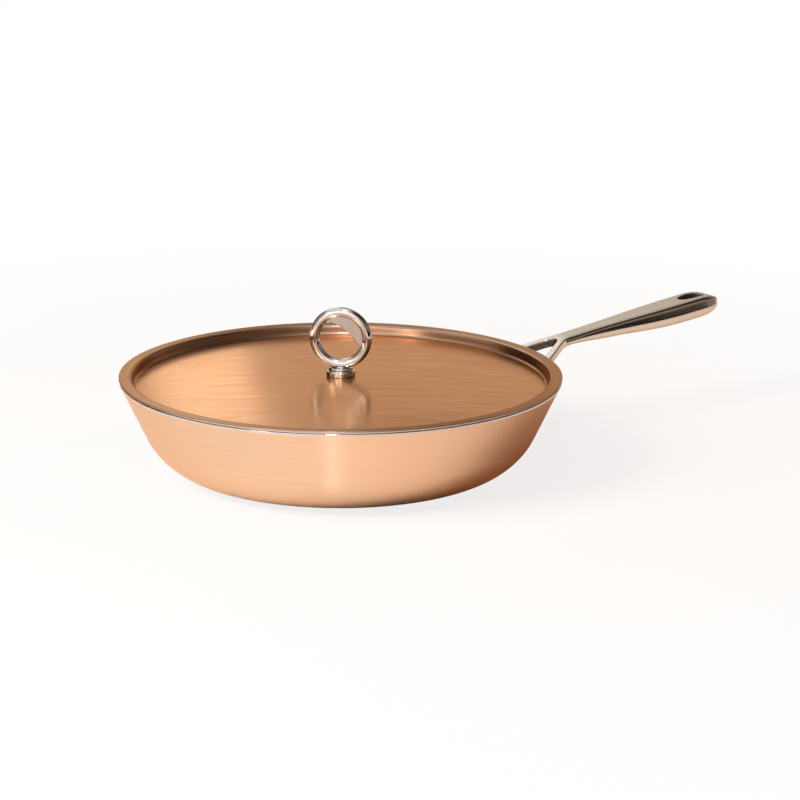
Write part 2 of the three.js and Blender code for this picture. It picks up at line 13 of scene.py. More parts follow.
import bmesh
import bpy
from mathutils import Euler, Matrix, Vector


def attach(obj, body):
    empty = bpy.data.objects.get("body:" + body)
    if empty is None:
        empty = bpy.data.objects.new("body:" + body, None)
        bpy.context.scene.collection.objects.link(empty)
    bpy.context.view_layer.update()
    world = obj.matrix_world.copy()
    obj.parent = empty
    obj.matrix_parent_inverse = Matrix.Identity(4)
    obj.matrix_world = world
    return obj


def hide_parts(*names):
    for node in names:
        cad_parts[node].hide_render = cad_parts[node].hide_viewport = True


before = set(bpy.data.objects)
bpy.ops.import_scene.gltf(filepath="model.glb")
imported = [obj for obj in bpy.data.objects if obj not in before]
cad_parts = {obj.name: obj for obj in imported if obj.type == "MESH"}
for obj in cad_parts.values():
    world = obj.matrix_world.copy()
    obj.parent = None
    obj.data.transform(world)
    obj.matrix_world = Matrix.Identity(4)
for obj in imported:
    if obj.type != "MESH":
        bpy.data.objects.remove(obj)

MM = 0.001
VIEW_TURN = 34.5  # degrees from the handle to the right-hand side of the picture
QUARTER = math.pi / 2
ON_AXIS = 1e-9  # a smaller radius is on the axis
SAME = 1e-6  # heights this close are the same
WELD = 1e-4  # points this close become one
TALL = 300.0  # reaches past the whole object
CREASE = math.radians(35)  # a cut piece stays sharp where it turns by more than this
BROKEN_EDGE = 0.1  # rounding of a small sharp edge
HAIR = 2  # facets of a rounding that is hardly seen
SMALL = 3  # facets of a small rounding
log = logging.getLogger("frying_pan")

Piece = bpy.types.Object
Material = bpy.types.Material
Tree = bpy.types.NodeTree
Socket = bpy.types.NodeSocket
Outline = list[tuple[float, float]]  # points as radius and height


# Shapes


@dataclass(frozen=True)
class Corner:
    """A corner of an outline in the plane of radius and height."""

    radius: float  # distance from the axis
    height: float  # above the base
    rounding: float = 0.0  # radius of the arc that rounds the corner
    steps: int = 6  # facets in that arc

    @property
    def place(self) -> Vector:
        """The corner as a point."""
        return Vector((self.radius, self.height))


@dataclass
class Shell:
    """A mesh in the making: points, faces, a normal for each point and a mark for each face."""

    points: list[Vector] = field(default_factory=list)
    faces: list[tuple[int, ...]] = field(default_factory=list)
    normals: list[Vector] = field(default_factory=list)
    marks: list[int] = field(default_factory=list)

    def add(self, other: "Shell") -> "Shell":
        """Takes in another shell's points and faces and returns itself."""
        start = len(self.points)
        self.points += other.points
        self.normals += other.normals
        self.faces += [tuple(i + start for i in face) for face in other.faces]
        self.marks += other.marks
        return self

    def moved(self, matrix: Matrix) -> "Shell":
        """Moves every point by a matrix and returns itself."""
        turn = matrix.to_3x3()
        self.points = [matrix @ point for point in self.points]
        self.normals = [turn @ normal for normal in self.normals]
        return self

    def marked(self, chosen: Callable[[float, float], bool]) -> "Shell":
        """Marks the faces that a test of their middle's radius and height picks, and returns itself."""
        middles = [sum((self.points[i] for i in face), Vector()) / len(face) for face in self.faces]
        self.marks = [int(chosen(math.hypot(middle.x, middle.y), middle.z)) for middle in middles]
        return self

    def mesh(self, name: str) -> bpy.types.Mesh:
        """Makes the bare mesh, in metres."""
        mesh = bpy.data.meshes.new(name)
        mesh.from_pydata([point * MM for point in self.points], [], self.faces)
        return mesh

    def to_object(self, name: str) -> Piece:
        """Makes a finished object, with the shell's own normals and marks."""
        mesh = self.mesh(name)
        mesh.polygons.foreach_set("material_index", self.marks)
        mesh.polygons.foreach_set("use_smooth", [True] * len(self.faces))
        mesh.normals_split_custom_set_from_vertices(self.normals)
        mesh.update()
        return linked(name, mesh)

    def to_solid(self, name: str) -> Piece:
        """Makes a plain object of triangles, for cutting and joining."""
        mesh = self.mesh(name)
        sewn = bmesh.new()
        sewn.from_mesh(mesh)
        bmesh.ops.remove_doubles(sewn, verts=sewn.verts, dist=WELD * MM)
        bmesh.ops.triangulate(sewn, faces=sewn.faces)
        bmesh.ops.recalc_face_normals(sewn, faces=sewn.faces)
        sewn.to_mesh(mesh)
        sewn.free()
        return linked(name, mesh)


def linked(name: str, data: bpy.types.ID) -> Piece:
    """Makes an object of a mesh, a lamp or a camera and links it to the scene."""
    piece = bpy.data.objects.new(name, data)
    bpy.context.scene.collection.objects.link(piece)
    return piece


def rounded(corners: list[Corner]) -> Outline:
    """Rounds the corners of a closed outline.

    Args:
        corners: the outline's corners, in order.

    Returns:
        The outline's points.
    """
    outline = []
    for i, corner in enumerate(corners):
        here = corner.place
        if corner.rounding == 0.0:
            outline.append((here.x, here.y))
            continue
        back = (corners[i - 1].place - here).normalized()
        on = (corners[(i + 1) % len(corners)].place - here).normalized()
        half = back.angle(on) / 2
        middle = here + (back + on).normalized() * corner.rounding / math.sin(half)
        reach = corner.rounding / math.tan(half)
        start = here + back * reach - middle
        end = here + on * reach - middle
        for step in range(corner.steps + 1):
            spoke = start.slerp(end, step / corner.steps) * corner.rounding
            outline.append((middle.x + spoke.x, middle.y + spoke.y))
    return outline


def bent(ends: tuple[tuple[float, float], ...], share: float) -> tuple[float, float]:
    """Gives a point of the curve from the first of three points to the last, drawn to the second."""
    weights = ((1 - share) ** 2, 2 * share * (1 - share), share**2)
    across, up = (sum(weight * end[axis] for weight, end in zip(weights, ends)) for axis in (0, 1))
    return across, up


def turned(outline: Outline, steps: int, start: float = 0.0) -> Shell:
    """Spins a closed outline about +Z.

    Args:
        outline: points as (radius, height), counter-clockwise with the radius to the right.
        steps: facets round the axis.
        start: half of the gap left open at angle 0, in radians; 0 gives a whole turn.

    Returns:
        The shell, with smooth normals that follow the longer side at each corner.
    """
    count = len(outline)
    slopes = []
    for i, (radius, height) in enumerate(outline):
        before = outline[i - 1]
        after = outline[(i + 1) % count]
        left = Vector((height - before[1], before[0] - radius))
        right = Vector((after[1] - height, radius - after[0]))
        slope = left * left.length + right * right.length
        if radius < ON_AXIS:
            slope = Vector((0.0, before[0] - after[0]))
        slopes.append(slope.normalized())
    whole = start == 0.0
    rows = steps if whole else steps + 1
    shell = Shell()
    for row in range(rows):
        angle = start + (2 * math.pi - 2 * start) * row / steps
        turn = Vector((math.cos(angle), math.sin(angle)))
        for (radius, height), slope in zip(outline, slopes):
            shell.points.append(Vector((radius * turn.x, radius * turn.y, height)))
            shell.normals.append(Vector((slope.x * turn.x, slope.x * turn.y, slope.y)))
    for row in range(steps):
        near = row * count
        far = ((row + 1) % rows) * count
        for i in range(count):
            following = (i + 1) % count
            # A point on the axis is shared by all rows, so its face has one corner less.
            face = [near + i, near + following]
            face[1:1] = [far + k for k in (i, following) if outline[k][0] >= ON_AXIS]
            if len(face) > 2:
                shell.faces.append(tuple(face))
    if not whole:
        shell.faces.append(tuple(range(count)))
        shell.faces.append(tuple(reversed(range(steps * count, (steps + 1) * count))))
    shell.marks = [0] * len(shell.faces)
    return shell


def strips(rows: list[list[Vector]]) -> Shell:
    """Joins rows of points by strips with a crease at each row.

    Args:
        rows: lines of equally many points; each strip gets points of its own.

    Returns:
        The shell.
    """
    shell = Shell()
    for first, second in zip(rows, rows[1:]):
        start = len(shell.points)
        count = len(first)
        shell.points += first + second
        across = [
            (second[i] - first[i]).cross(first[min(i + 1, count - 1)] - first[max(i - 1, 0)]).normalized()
            for i in range(count)
        ]
        shell.normals += across + across
        for i in range(start, start + count - 1):
            shell.faces.append((i, i + count, i + count + 1, i + 1))
    shell.marks = [0] * len(shell.faces)
    return shell


def combine(piece: Piece, other: Piece, operation: str) -> None:
    """Joins another object to a piece or cuts it away, and removes the other object."""
    modifier = piece.modifiers.new("combine", "BOOLEAN")
    modifier.object = other
    modifier.operation = operation
    modifier.solver = "EXACT"
    settle(piece)
    bpy.data.objects.remove(other)


def settle(piece: Piece) -> None:
    """Turns an object's modifiers into its mesh."""
    graph = bpy.context.evaluated_depsgraph_get()
    mesh = bpy.data.meshes.new_from_object(piece.evaluated_get(graph))
    piece.modifiers.clear()
    piece.data = mesh


def smoothed(piece: Piece) -> Piece:
    """Shades a cut piece smooth up to its sharp edges and returns it."""
    piece.data.shade_smooth()
    piece.data.set_sharp_from_angle(angle=CREASE)
    return piece


# Finishes


def linear(colour: str) -> tuple[float, float, float, float]:
    """Turns an sRGB hex colour such as "#d9a078" into linear red, green, blue and alpha."""
    shares = [int(colour[i : i + 2], 16) / 255 for i in (1, 3, 5)]
    values = [s / 12.92 if s <= 0.04045 else ((s + 0.055) / 1.055) ** 2.4 for s in shares]
    return (*values, 1.0)


WHITE = linear("#ffffff")


def bare_material(name: str) -> tuple[Material, Tree]:
    """Makes a material and gives it with its empty node tree."""
    material = bpy.data.materials.new(name)
    material.use_nodes = True
    material.node_tree.nodes.clear()
    return material, material.node_tree


def add_node(
    tree: Tree,
    kind: str,
    inputs: dict | None = None,
    out: int | str = 0,
    **settings,
) -> Socket | None:
    """Adds a shader node to a tree.

    Args:
        tree: the tree.
        kind: the node's type name, without the ShaderNode that all start with.
        inputs: for each input, by name or number, a value or the socket that feeds it.
        out: the output that is wanted, by name or number.
        settings: the node's own properties.

    Returns:
        That output, or None where the node has no outputs.
    """
    node = tree.nodes.new("ShaderNode" + kind)
    for name, value in settings.items():
        setattr(node, name, value)
    for name, value in (inputs or {}).items():
        if isinstance(value, Socket):
            tree.links.new(value, node.inputs[name])
        else:
            node.inputs[name].default_value = value
    return node.outputs[out] if len(node.outputs) else None


NOISE_RANGE = {"From Min": 0.3, "From Max": 0.7}  # nearly all values of a noise
LINE_SPLIT = 0.6  # strength of each finer split of the lines
LINES_TO_TANGENT = 0.25  # of a turn: reflections stretch across the lines
MEAN_RADIUS = 130  # of the rings that lathe lines run on


class Grain(Enum):
    """How the lines of a brushed surface run."""

    ROUND = "round the axis, from a lathe"
    STRAIGHT = "one way, from a belt"


@dataclass(frozen=True)
class BrushedMetal:
    """A metal sheet finished with an abrasive that leaves fine lines."""

    name: str
    light: str  # colour of the clean metal
    dark: str  # colour in the lines and in the slightly tarnished patches
    edge: str  # tint of the metal seen at a glancing angle
    roughness: float
    anisotropy: float  # how far the lines stretch a reflection across them
    grain: Grain
    spacing: float  # distance between lines
    length: float  # of a line
    depth: float  # of a line
    variation: float = 0.15  # share by which the roughness changes from line to line
    detail: float = 3.0  # how many times the lines split into finer ones
    direction: float = 0.0  # of straight lines, in degrees from +X
    patch: float = 55  # size of a tarnished patch
    patch_share: float = 0.25  # of the colour that the patches decide

    def build(self) -> Material:
        """Makes the material: lines set the colour, and deep ones the roughness and the bumps."""
        material, tree = bare_material(self.name)
        place = add_node(tree, "TexCoord", out="Object")
        lay = self._round if self.grain is Grain.ROUND else self._straight
        along, tangent = lay(tree, place)
        lines = {"Vector": along, "Scale": 1.0, "Detail": self.detail, "Roughness": LINE_SPLIT}
        fine = add_node(tree, "TexNoise", lines)
        clouds = {"Vector": place, "Scale": 1 / (self.patch * MM), "Detail": 3.0, "Roughness": 0.5}
        patch = add_node(tree, "TexNoise", clouds)
        tone = add_node(tree, "Mix", {0: self.patch_share, 2: fine, 3: patch})
        share = add_node(tree, "MapRange", {"Value": tone, **NOISE_RANGE})
        tints = {0: share, 6: linear(self.dark), 7: linear(self.light)}
        surface = {
            "Base Color": add_node(tree, "Mix", tints, 2, data_type="RGBA"),
            "Metallic": 1.0,
            "Roughness": self.roughness,
            "Specular Tint": linear(self.edge),
            "Anisotropic": self.anisotropy,
            "Anisotropic Rotation": LINES_TO_TANGENT,
            "Tangent": tangent,
        }
        if self.variation:
            rough = self.roughness * (1 + self.variation)
            smooth = self.roughness * (1 - self.variation)
            span = {"Value": fine, **NOISE_RANGE, "To Min": rough, "To Max": smooth}
            surface["Roughness"] = add_node(tree, "MapRange", span)
        if self.depth:
            relief = {"Height": fine, "Strength": 1.0, "Distance": self.depth * MM}
            surface["Normal"] = add_node(tree, "Bump", relief)
        shader = add_node(tree, "BsdfPrincipled", surface)
        add_node(tree, "OutputMaterial", {"Surface": shader})
        return material

    def _round(self, tree: Tree, place: Socket) -> tuple[Socket, Socket]:
        """Gives the place along and across lines round the axis, and the lines' direction."""
        flat = add_node(tree, "VectorMath", {0: place, 1: (1, 1, 0)}, operation="MULTIPLY")
        spoke = add_node(tree, "VectorMath", {0: flat}, operation="NORMALIZE")
        radius = add_node(tree, "VectorMath", {0: flat}, "Value", operation="LENGTH")
        height = add_node(tree, "SeparateXYZ", {0: place}, "Z")
        run = add_node(tree, "Math", {0: radius, 1: height}, operation="ADD")
        across = add_node(tree, "Math", {0: run, 1: 1 / (self.spacing * MM)}, operation="MULTIPLY")
        lift = add_node(tree, "CombineXYZ", {2: across})
        stretch = MEAN_RADIUS / self.length
        wide = add_node(tree, "VectorMath", {0: spoke, "Scale": stretch}, operation="SCALE")
        along = add_node(tree, "VectorMath", {0: wide, 1: lift}, operation="ADD")
        tangent = add_node(tree, "VectorMath", {0: (0, 0, 1), 1: spoke}, operation="CROSS_PRODUCT")
        return along, tangent

    def _straight(self, tree: Tree, place: Socket) -> tuple[Socket, Socket]:
        """Gives the place along and across straight lines, and the lines' direction."""
        angle = math.radians(self.direction)
        turn = {"Vector": place, "Angle": -angle}
        level = add_node(tree, "VectorRotate", turn, rotation_type="Z_AXIS")
        scale = (1 / (self.length * MM), 1 / (self.spacing * MM), 1 / (self.spacing * MM))
        along = add_node(tree, "VectorMath", {0: level, 1: scale}, operation="MULTIPLY")
        tangent = add_node(tree, "CombineXYZ", {0: math.cos(angle), 1: math.sin(angle)})
        return along, tangent


@dataclass(frozen=True)
class PolishedMetal:
    """A metal with hairline scratches and duller patches: polished, plated, rolled or as cast."""

    name: str
    light: str  # colour of the clean metal
    dark: str  # colour in duller patches
    roughness: float
    scratch: float  # width of a scratch
    depth: float  # of a scratch
    top_roughness: float = 0.0  # of faces that look up, where they are duller than the rest
    stretch: float = 0.08  # a scratch's width over its length
    patch: float = 18  # size of a duller patch
    dulling: float = 0.06  # roughness that the scratches add
    side_facing: float = 0.6  # faces that look up by less are sides
    top_facing: float = 0.95  # faces that look up by more are tops

    def build(self) -> Material:
        """Makes the material: faces that look up can be duller than the sides."""
        material, tree = bare_material(self.name)
        place = add_node(tree, "TexCoord", out="Object")
        width = self.scratch * MM
        scale = (self.stretch / width, 1 / width, 1 / width)
        hair = add_node(tree, "VectorMath", {0: place, 1: scale}, operation="MULTIPLY")
        lines = {"Vector": hair, "Scale": 1.0, "Detail": 4.0, "Roughness": LINE_SPLIT}
        fine = add_node(tree, "TexNoise", lines)
        clouds = {"Vector": place, "Scale": 1 / (self.patch * MM), "Detail": 3.0}
        patch = add_node(tree, "TexNoise", clouds)
        tints = {0: patch, 6: linear(self.dark), 7: linear(self.light)}
        base = self.roughness
        if self.top_roughness:
            facing = add_node(tree, "NewGeometry", out="Normal")
            upward = add_node(tree, "SeparateXYZ", {0: facing}, "Z")
            range_up = {"Value": upward, "From Min": self.side_facing, "From Max": self.top_facing}
            span = {"To Min": self.roughness, "To Max": self.top_roughness}
            base = add_node(tree, "MapRange", range_up | span)
        dulled = {0: fine, 1: self.dulling, 2: base}
        relief = {"Height": fine, "Strength": 1.0, "Distance": self.depth * MM}
        surface = {
            "Base Color": add_node(tree, "Mix", tints, 2, data_type="RGBA"),
            "Metallic": 1.0,
            "Roughness": add_node(tree, "Math", dulled, operation="MULTIPLY_ADD"),
            "Normal": add_node(tree, "Bump", relief),
        }
        shader = add_node(tree, "BsdfPrincipled", surface)
        add_node(tree, "OutputMaterial", {"Surface": shader})
        return material


# Copper sheet brushed on a lathe: warm, with lines round the axis that pull reflections upright.
SPUN_COPPER = BrushedMetal(
    name="copper_spun_and_brushed",
    light="#f5d2b4",
    dark="#f2ccad",
    edge="#ffeadb",
    roughness=0.28,
    anisotropy=0.82,
    grain=Grain.ROUND,
    spacing=1.6,  # real lines are finer; these are as fine as the picture can show
    length=140,
    depth=0.0,  # too shallow to bend a reflection
    variation=0.0,  # and too even to change its blur
    detail=1.0,
)

# The lid's flange and recess: pressed, then brushed on a lathe, a little browner than the pan.
PRESSED_COPPER = BrushedMetal(
    name="copper_pressed_and_brushed",
    light="#c8a990",
    dark="#b3927a",
    edge="#f0d4bb",
    roughness=0.285,
    anisotropy=0.8,
    grain=Grain.ROUND,
    spacing=0.9,
    length=60,
    depth=0.0,  # too shallow to bend a reflection
    variation=0.0,  # and too even to change its blur
    detail=1.0,
)

# The lid's plate is brushed straight across on a belt: streaks run one way over the whole plate.
BELT_COPPER = BrushedMetal(
    name="copper_belt_brushed",
    light="#f1c9a7",
    dark="#e3b58f",
    edge="#ffe3c9",
    roughness=0.2,
    anisotropy=0.65,
    grain=Grain.STRAIGHT,
    spacing=2.2,  # coarser than the real grit, so that the streaks show on the foreshortened plate
    length=110,
    depth=0.006,
    variation=0.22,
    direction=-VIEW_TURN,
)

# Stainless liner brushed on a lathe: a soft grey sheen in rings.
SPUN_STEEL = BrushedMetal(
    name="stainless_steel_spun_and_brushed",
    light="#d3cec6",
    dark="#bdb7ad",
    edge="#ffffff",
    roughness=0.26,
    anisotropy=0.7,
    grain=Grain.ROUND,
    spacing=0.8,
    length=60,
    depth=0.004,
)

# Zinc-plated steel: dull, faintly blue, with short scratches from handling.
ZINC_STEEL = PolishedMetal(
    name="steel_zinc_plated",
    light="#c5c9ce",
    dark="#a9aeb5",
    roughness=0.3,
    scratch=0.5,
    depth=0.002,
)

# Rolled aluminium between the other plies: pale and matt.
ROLLED_ALUMINIUM = PolishedMetal(
    name="aluminium_rolled",
    light="#d6d7d9",
    dark="#c2c4c7",
    roughness=0.4,
    scratch=0.6,
    depth=0.002,
)

# Cast stainless steel, polished on its sides and left satin on its flat top.
CAST_STEEL = PolishedMetal(
    name="stainless_steel_cast_and_polished",
    light="#efe8dc",
    dark="#e2dacb",
    roughness=0.1,
    top_roughness=0.4,
    scratch=0.7,
    depth=0.0015,
)

# Stainless steel left as cast inside the fork and the hole, which no wheel reaches: satin, with its colour
# painted much darker than the polished steel as painted shade in there.
CAST_SKIN_SHADED = PolishedMetal(
    name="stainless_steel_as_cast_painted_shade",
    light="#8c8782",
    dark="#7c7772",
    roughness=0.4,
    scratch=0.7,
    depth=0.0015,
)

# The knob's flat web, drawn over an abrasive: an even pale grey with faint lines.
SATIN_STEEL = PolishedMetal(
    name="stainless_steel_satin",
    light="#d2cfcb",
    dark="#aeaaa6",
    roughness=0.36,
    scratch=0.8,
    depth=0.01,
)

# Stainless steel polished to a mirror, which shows the room almost sharp.
MIRROR_STEEL = PolishedMetal(
    name="stainless_steel_mirror_polished",
    light="#dfdcdb",
    dark="#d0cdcb",
    roughness=0.03,
    scratch=0.6,
    depth=0.0004,
)


class Workshop:
    """Makes each finish once and puts finished pieces on their bodies."""

    def __init__(self) -> None:
        """Starts with no finish made."""
        self._made: dict[str, Material] = {}

    def material(self, finish: BrushedMetal | PolishedMetal) -> Material:
        """Gives the finish's material, made at its first use."""
        if finish.name not in self._made:
            self._made[finish.name] = finish.build()
        return self._made[finish.name]

    def fit(
        self,
        piece: Piece,
        body: str,
        node: str,
        finishes: list[BrushedMetal | PolishedMetal],
    ) -> None:
        """Dresses a piece and puts it in the place of a node.

        Args:
            piece: the piece.
            body: the body that it rides on.
            node: the node that it stands for.
            finishes: one finish for each mark of the piece's faces.
        """
        for finish in finishes:
            piece.data.materials.append(self.material(finish))
        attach(piece, body)
        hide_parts(node)
        log.info("%s: %d faces, on %s", piece.name, len(piece.data.polygons), body)


# Pan


@dataclass
class PanBody:
    """The clad pan: a copper shell, an aluminium core and a steel liner with a lip."""

    rim_radius: float = 140
    height: float = 60.5
    flare: float = math.radians(25.4)  # from vertical
    knuckle: float = 45  # outside curve from base to wall
    copper: float = 0.9
    core: float = 1.4
    steel: float = 0.7
    bond: float = 0.05
    lip_height: float = 1.5
    lip_proud: float = 0.4
    lip_round: float = 0.4
    edge_round: float = 0.15
    steps: int = 192
    knuckle_steps: int = 28

    @property
    def copper_top(self) -> float:
        """Height of the copper's upper edge."""
        return self.height - self.lip_height

    @property
    def liner_depth(self) -> float:
        """Depth of the liner's outside below the pan's outside."""
        return self.copper + self.core + 2 * self.bond

    @property
    def wall(self) -> float:
        """Thickness of the whole wall."""
        return self.liner_depth + self.steel

    def wall_radius(self, height: float, depth: float = 0.0) -> float:
        """Radius of a surface a given depth inside the wall's straight part, at a height."""
        outside = self.rim_radius - self.lip_proud - (self.copper_top - height) * math.tan(self.flare)
        return outside - depth / math.cos(self.flare)

    def corner(self, depth: float) -> Corner:
        """The rounded corner between the base and the wall, at a depth inside the outside."""
        return Corner(self.wall_radius(depth, depth), depth, self.knuckle - depth, self.knuckle_steps)

    def shell(self) -> Piece:
        """Makes the copper shell."""
        outline = rounded([
            Corner(0, 0),
            self.corner(0),
            Corner(self.wall_radius(self.copper_top), self.copper_top, self.edge_round, HAIR),
            Corner(self.wall_radius(self.copper_top, self.copper), self.copper_top),
            self.corner(self.copper),
            Corner(0, self.copper),
        ])
        return turned(outline, self.steps).to_object("pan_shell")

    def liner(self) -> Piece:
        """Makes the steel liner, with its lip's faces marked for the mirror polish."""
        under = self.copper_top + self.bond
        outline = rounded([
            Corner(0, self.liner_depth),
            self.corner(self.liner_depth),
            Corner(self.wall_radius(under, self.liner_depth), under),
            Corner(self.rim_radius, under, self.edge_round, HAIR),
            Corner(self.rim_radius, self.height, self.lip_round),
            Corner(self.wall_radius(self.height, self.wall), self.height, self.lip_round),
            self.corner(self.wall),
            Corner(0, self.wall),
        ])
        inside = self.wall_radius(self.height, self.wall) - self.lip_round
        liner = turned(outline, self.steps)
        liner.marked(lambda radius, height: height > under - SAME and radius > inside)
        return liner.to_object("pan_liner")

    def dress(self, workshop: Workshop) -> None:
        """Builds the pan's pieces and dresses them."""
        workshop.fit(self.shell(), "pan", "pan_copper_shell", [SPUN_COPPER])
        workshop.fit(self.liner(), "pan", "pan_steel_liner", [SPUN_STEEL, MIRROR_STEEL])
        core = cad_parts["pan_aluminium_core"]
        core.data.materials.clear()
        core.data.materials.append(workshop.material(ROLLED_ALUMINIUM))
        log.info("pan_aluminium_core: kept, between the other plies")


# Handle


@dataclass
class Handle:
    """The cast handle with its fork and pads, and the rivets that hold it to the pan."""

    pan: PanBody
    reach: float = 169  # from the lip to the end of the grip
    drop: float = 2.9  # line of the grip's top below the rim, carried on to the lip
    start_slope: float = math.tan(math.radians(7.8))
    end_slope: float = math.tan(math.radians(5.7))
    fork_slope: float = math.tan(math.radians(19.5))
    fork_bend: float = 40  # from the lip to where the fork starts to bend down
    bend_length: float = 12
    neck_distance: float = 46
    grip_distance: float = 144
    neck_width: float = 13.9  # of the flat top
    grip_width: float = 20
    neck_flare: float = 0.5  # widest line outside the top's edge
    grip_flare: float = 1.6
    neck_side: float = 4.8  # height of the slanted side
    grip_side: float = 7.6
    neck_belly: float = 4.6  # height of the round underside
    grip_belly: float = 7.9
    root_share: float = 0.68  # of its height that the grip has where it grows out of the fork
    root_length: float = 40
    edge_round: float = 2.4
    belly_power: float = 0.8  # curve of the underside, lower is squarer
    end_round: float = 15  # length of the rounded end, seen from above
    nose_length: float = 22  # length of the rounded end, seen from the side
    nose_drop: float = 8.5  # from the top's line down to the tip
    nose_turn: float = math.radians(81)  # last section of the nose; the smallest one is left flat
    crotch_distance: float = 32
    crotch_radius: float = 4.2
    prong_width: float = 5.4
    prong_depth: float = 6
    prong_angle: float = math.radians(30)
    fork_round: float = 0.9  # rounding of the fork's edges
    hole_length: float = 21
    hole_width: float = 10.4
    hole_inset: float = 10.5
    pad_radius: float = 9
    pad_depth: float = 4.6
    pad_round: float = 1
    rivet_drop: float = 23
    head_radius: float = 6.2
    head_height: float = 1.7
    tail_radius: float = 4.6
    tail_height: float = 1.5
    shank_radius: float = 3
    dome_start: float = 0.6  # share of a rivet end's radius where its dome turns down
    head_band: float = 0.4  # share of the head's height that is upright
    tail_band: float = 0.5
    head_dome: float = 2.5  # roundings of the rivet's ends
    tail_dome: float = 2
    head_brow: float = 0.5
    tail_brow: float = 0.4
    fit_gap: float = 0.3
    shade_margin: float = 0.6  # the satin finish with painted shade reaches this far past the openings of the fork and the hole
    shade_slope: float = 0.75  # faces that look up or down by more than this are polished, without painted shade
    stations: int = 60
    edge_steps: int = 12
    belly_steps: int = 20
    fork_steps: int = 8
    crotch_steps: int = 16
    round_steps: int = 48  # of the pads, the hole and the rivets
    bevel_angle: float = math.radians(40)  # sharper edges of the fork are rounded
    voxel: float = 0.42  # facet size of the blended casting
    smoothing: int = 12  # rounds of it
    smoothing_share: float = 0.5  # how far each round goes
    grid_tilt: tuple[float, float, float] = (0.5, 0.6, 0.4)  # of the facets, off the casting's own edges

    @property
    def end(self) -> float:
        """Distance of the grip's end from the pan's axis."""
        return self.pan.rim_radius + self.reach

    @property
    def crotch_centre(self) -> float:
        """Distance of the fork's round crotch from the pan's axis."""
        return self.pan.rim_radius + self.crotch_distance - self.crotch_radius

    def top(self, x: float) -> float:
        """Height of the flat top at a distance x from the pan's axis; the fork dips below the line."""
        run = x - self.pan.rim_radius
        bend = (self.end_slope - self.start_slope) / (2 * self.reach)
        before = max(0.0, self.fork_bend - run)
        eased = min(before, self.bend_length)
        dip = (self.fork_slope - self.start_slope) * (eased**2 / (2 * self.bend_length) + before - eased)
        return self.pan.height - self.drop + run * self.start_slope + run * run * bend - dip

    @property
    def grip_start(self) -> float:
        """Place where the grip starts, inside the fork."""
        return self.pan.rim_radius + self.crotch_distance + self.prong_width / 2

    @property
    def hole_centre(self) -> float:
        """Place of the hanging hole's centre."""
        return self.end - self.hole_inset - self.hole_length / 2

    def end_share(self, x: float, length: float) -> float:
        """Share left of the full section towards an end that is rounded over a length."""
        past = max(0.0, x - (self.end - length)) / length
        return math.sqrt(max(0.0, 1 - past * past))

    def half_section(self, x: float) -> Outline:
        """Gives half a section as offsets from the middle of its top, from the top to the underside."""
        t = (x - self.pan.rim_radius - self.neck_distance) / (self.grip_distance - self.neck_distance)
        t = min(max(t, 0.0), 1.0)
        share = t * t * t * (t * (t * 6 - 15) + 10)  # eased at both ends

        def between(neck: float, grip: float) -> float:
            """Gives the size at this place on the way from the neck to the grip."""
            return neck + (grip - neck) * share

        edge = between(self.neck_width, self.grip_width) / 2
        flare = between(self.neck_flare, self.grip_flare)
        side = between(self.neck_side, self.grip_side)
        belly = between(self.neck_belly, self.grip_belly)
        grown = min((x - self.grip_start) / self.root_length, 1.0)
        depth = self.root_share + (1 - self.root_share) * grown * grown * (3 - 2 * grown)
        side *= depth
        belly *= depth
        corner = ((edge - self.edge_round, 0.0), (edge, 0.0),
                  (edge + flare * self.edge_round / side, -self.edge_round))
        points = []
        for i in range(self.edge_steps + 1):
            points.append(bent(corner, i / self.edge_steps))
        for i in range(self.belly_steps):
            angle = QUARTER * i / self.belly_steps
            across = (edge + flare) * math.cos(angle) ** self.belly_power
            points.append((across, -side - belly * math.sin(angle) ** self.belly_power))
        points.append((0.0, -side - belly))
        return points

    def section(self, x: float) -> list[Vector]:
        """Gives one closed section: flat top, slanted sides, round underside, shrunk towards the tip."""
        narrow = self.end_share(x, self.end_round)
        low = self.end_share(x, self.nose_length)
        tip = self.top(x) - self.nose_drop
        half = self.half_section(x)
        left = [Vector((x, across * narrow, tip + (drop + self.nose_drop) * low)) for across, drop in half]
        right = [Vector((point.x, -point.y, point.z)) for point in left[:-1]]
        return left[::-1] + right

    def grip(self) -> Piece:
        """Makes the grip from sections, closer together at its rounded end."""
        start = self.grip_start
        straight = self.end - self.nose_length
        half = self.stations // 2
        places = [start + (straight - start) * i / half for i in range(half)]
        turns = [self.nose_turn * i / half for i in range(half + 1)]
        places += [straight + self.nose_length * math.sin(turn) for turn in turns]
        sections = [self.section(place) for place in places]
        count = len(sections[0])
        faces = [tuple(reversed(range(count)))]
        for row in range(len(places) - 1):
            for i in range(count):
                a = row * count + i
                b = row * count + (i + 1) % count
                faces.append((a, b, b + count, a + count))
        last = (len(places) - 1) * count
        faces.append(tuple(range(last, last + count)))
        return Shell([point for section in sections for point in section], faces).to_solid("handle")

    def fork_side(self, radius: float, inside: float, reverse: bool) -> Outline:
        """Gives one edge of a prong in plan, from the pan's side to where its bend starts."""
        sine = math.sin(self.prong_angle)
        cosine = math.cos(self.prong_angle)
        bend = (self.crotch_centre + radius * sine, radius * cosine)
        start = radius / cosine + (self.crotch_centre - inside) * math.tan(self.prong_angle)
        steps = self.fork_steps
        line = [
            (inside + (bend[0] - inside) * i / steps, start + (bend[1] - start) * i / steps)
            for i in range(steps + 1)
        ]
        return line[::-1] if reverse else line

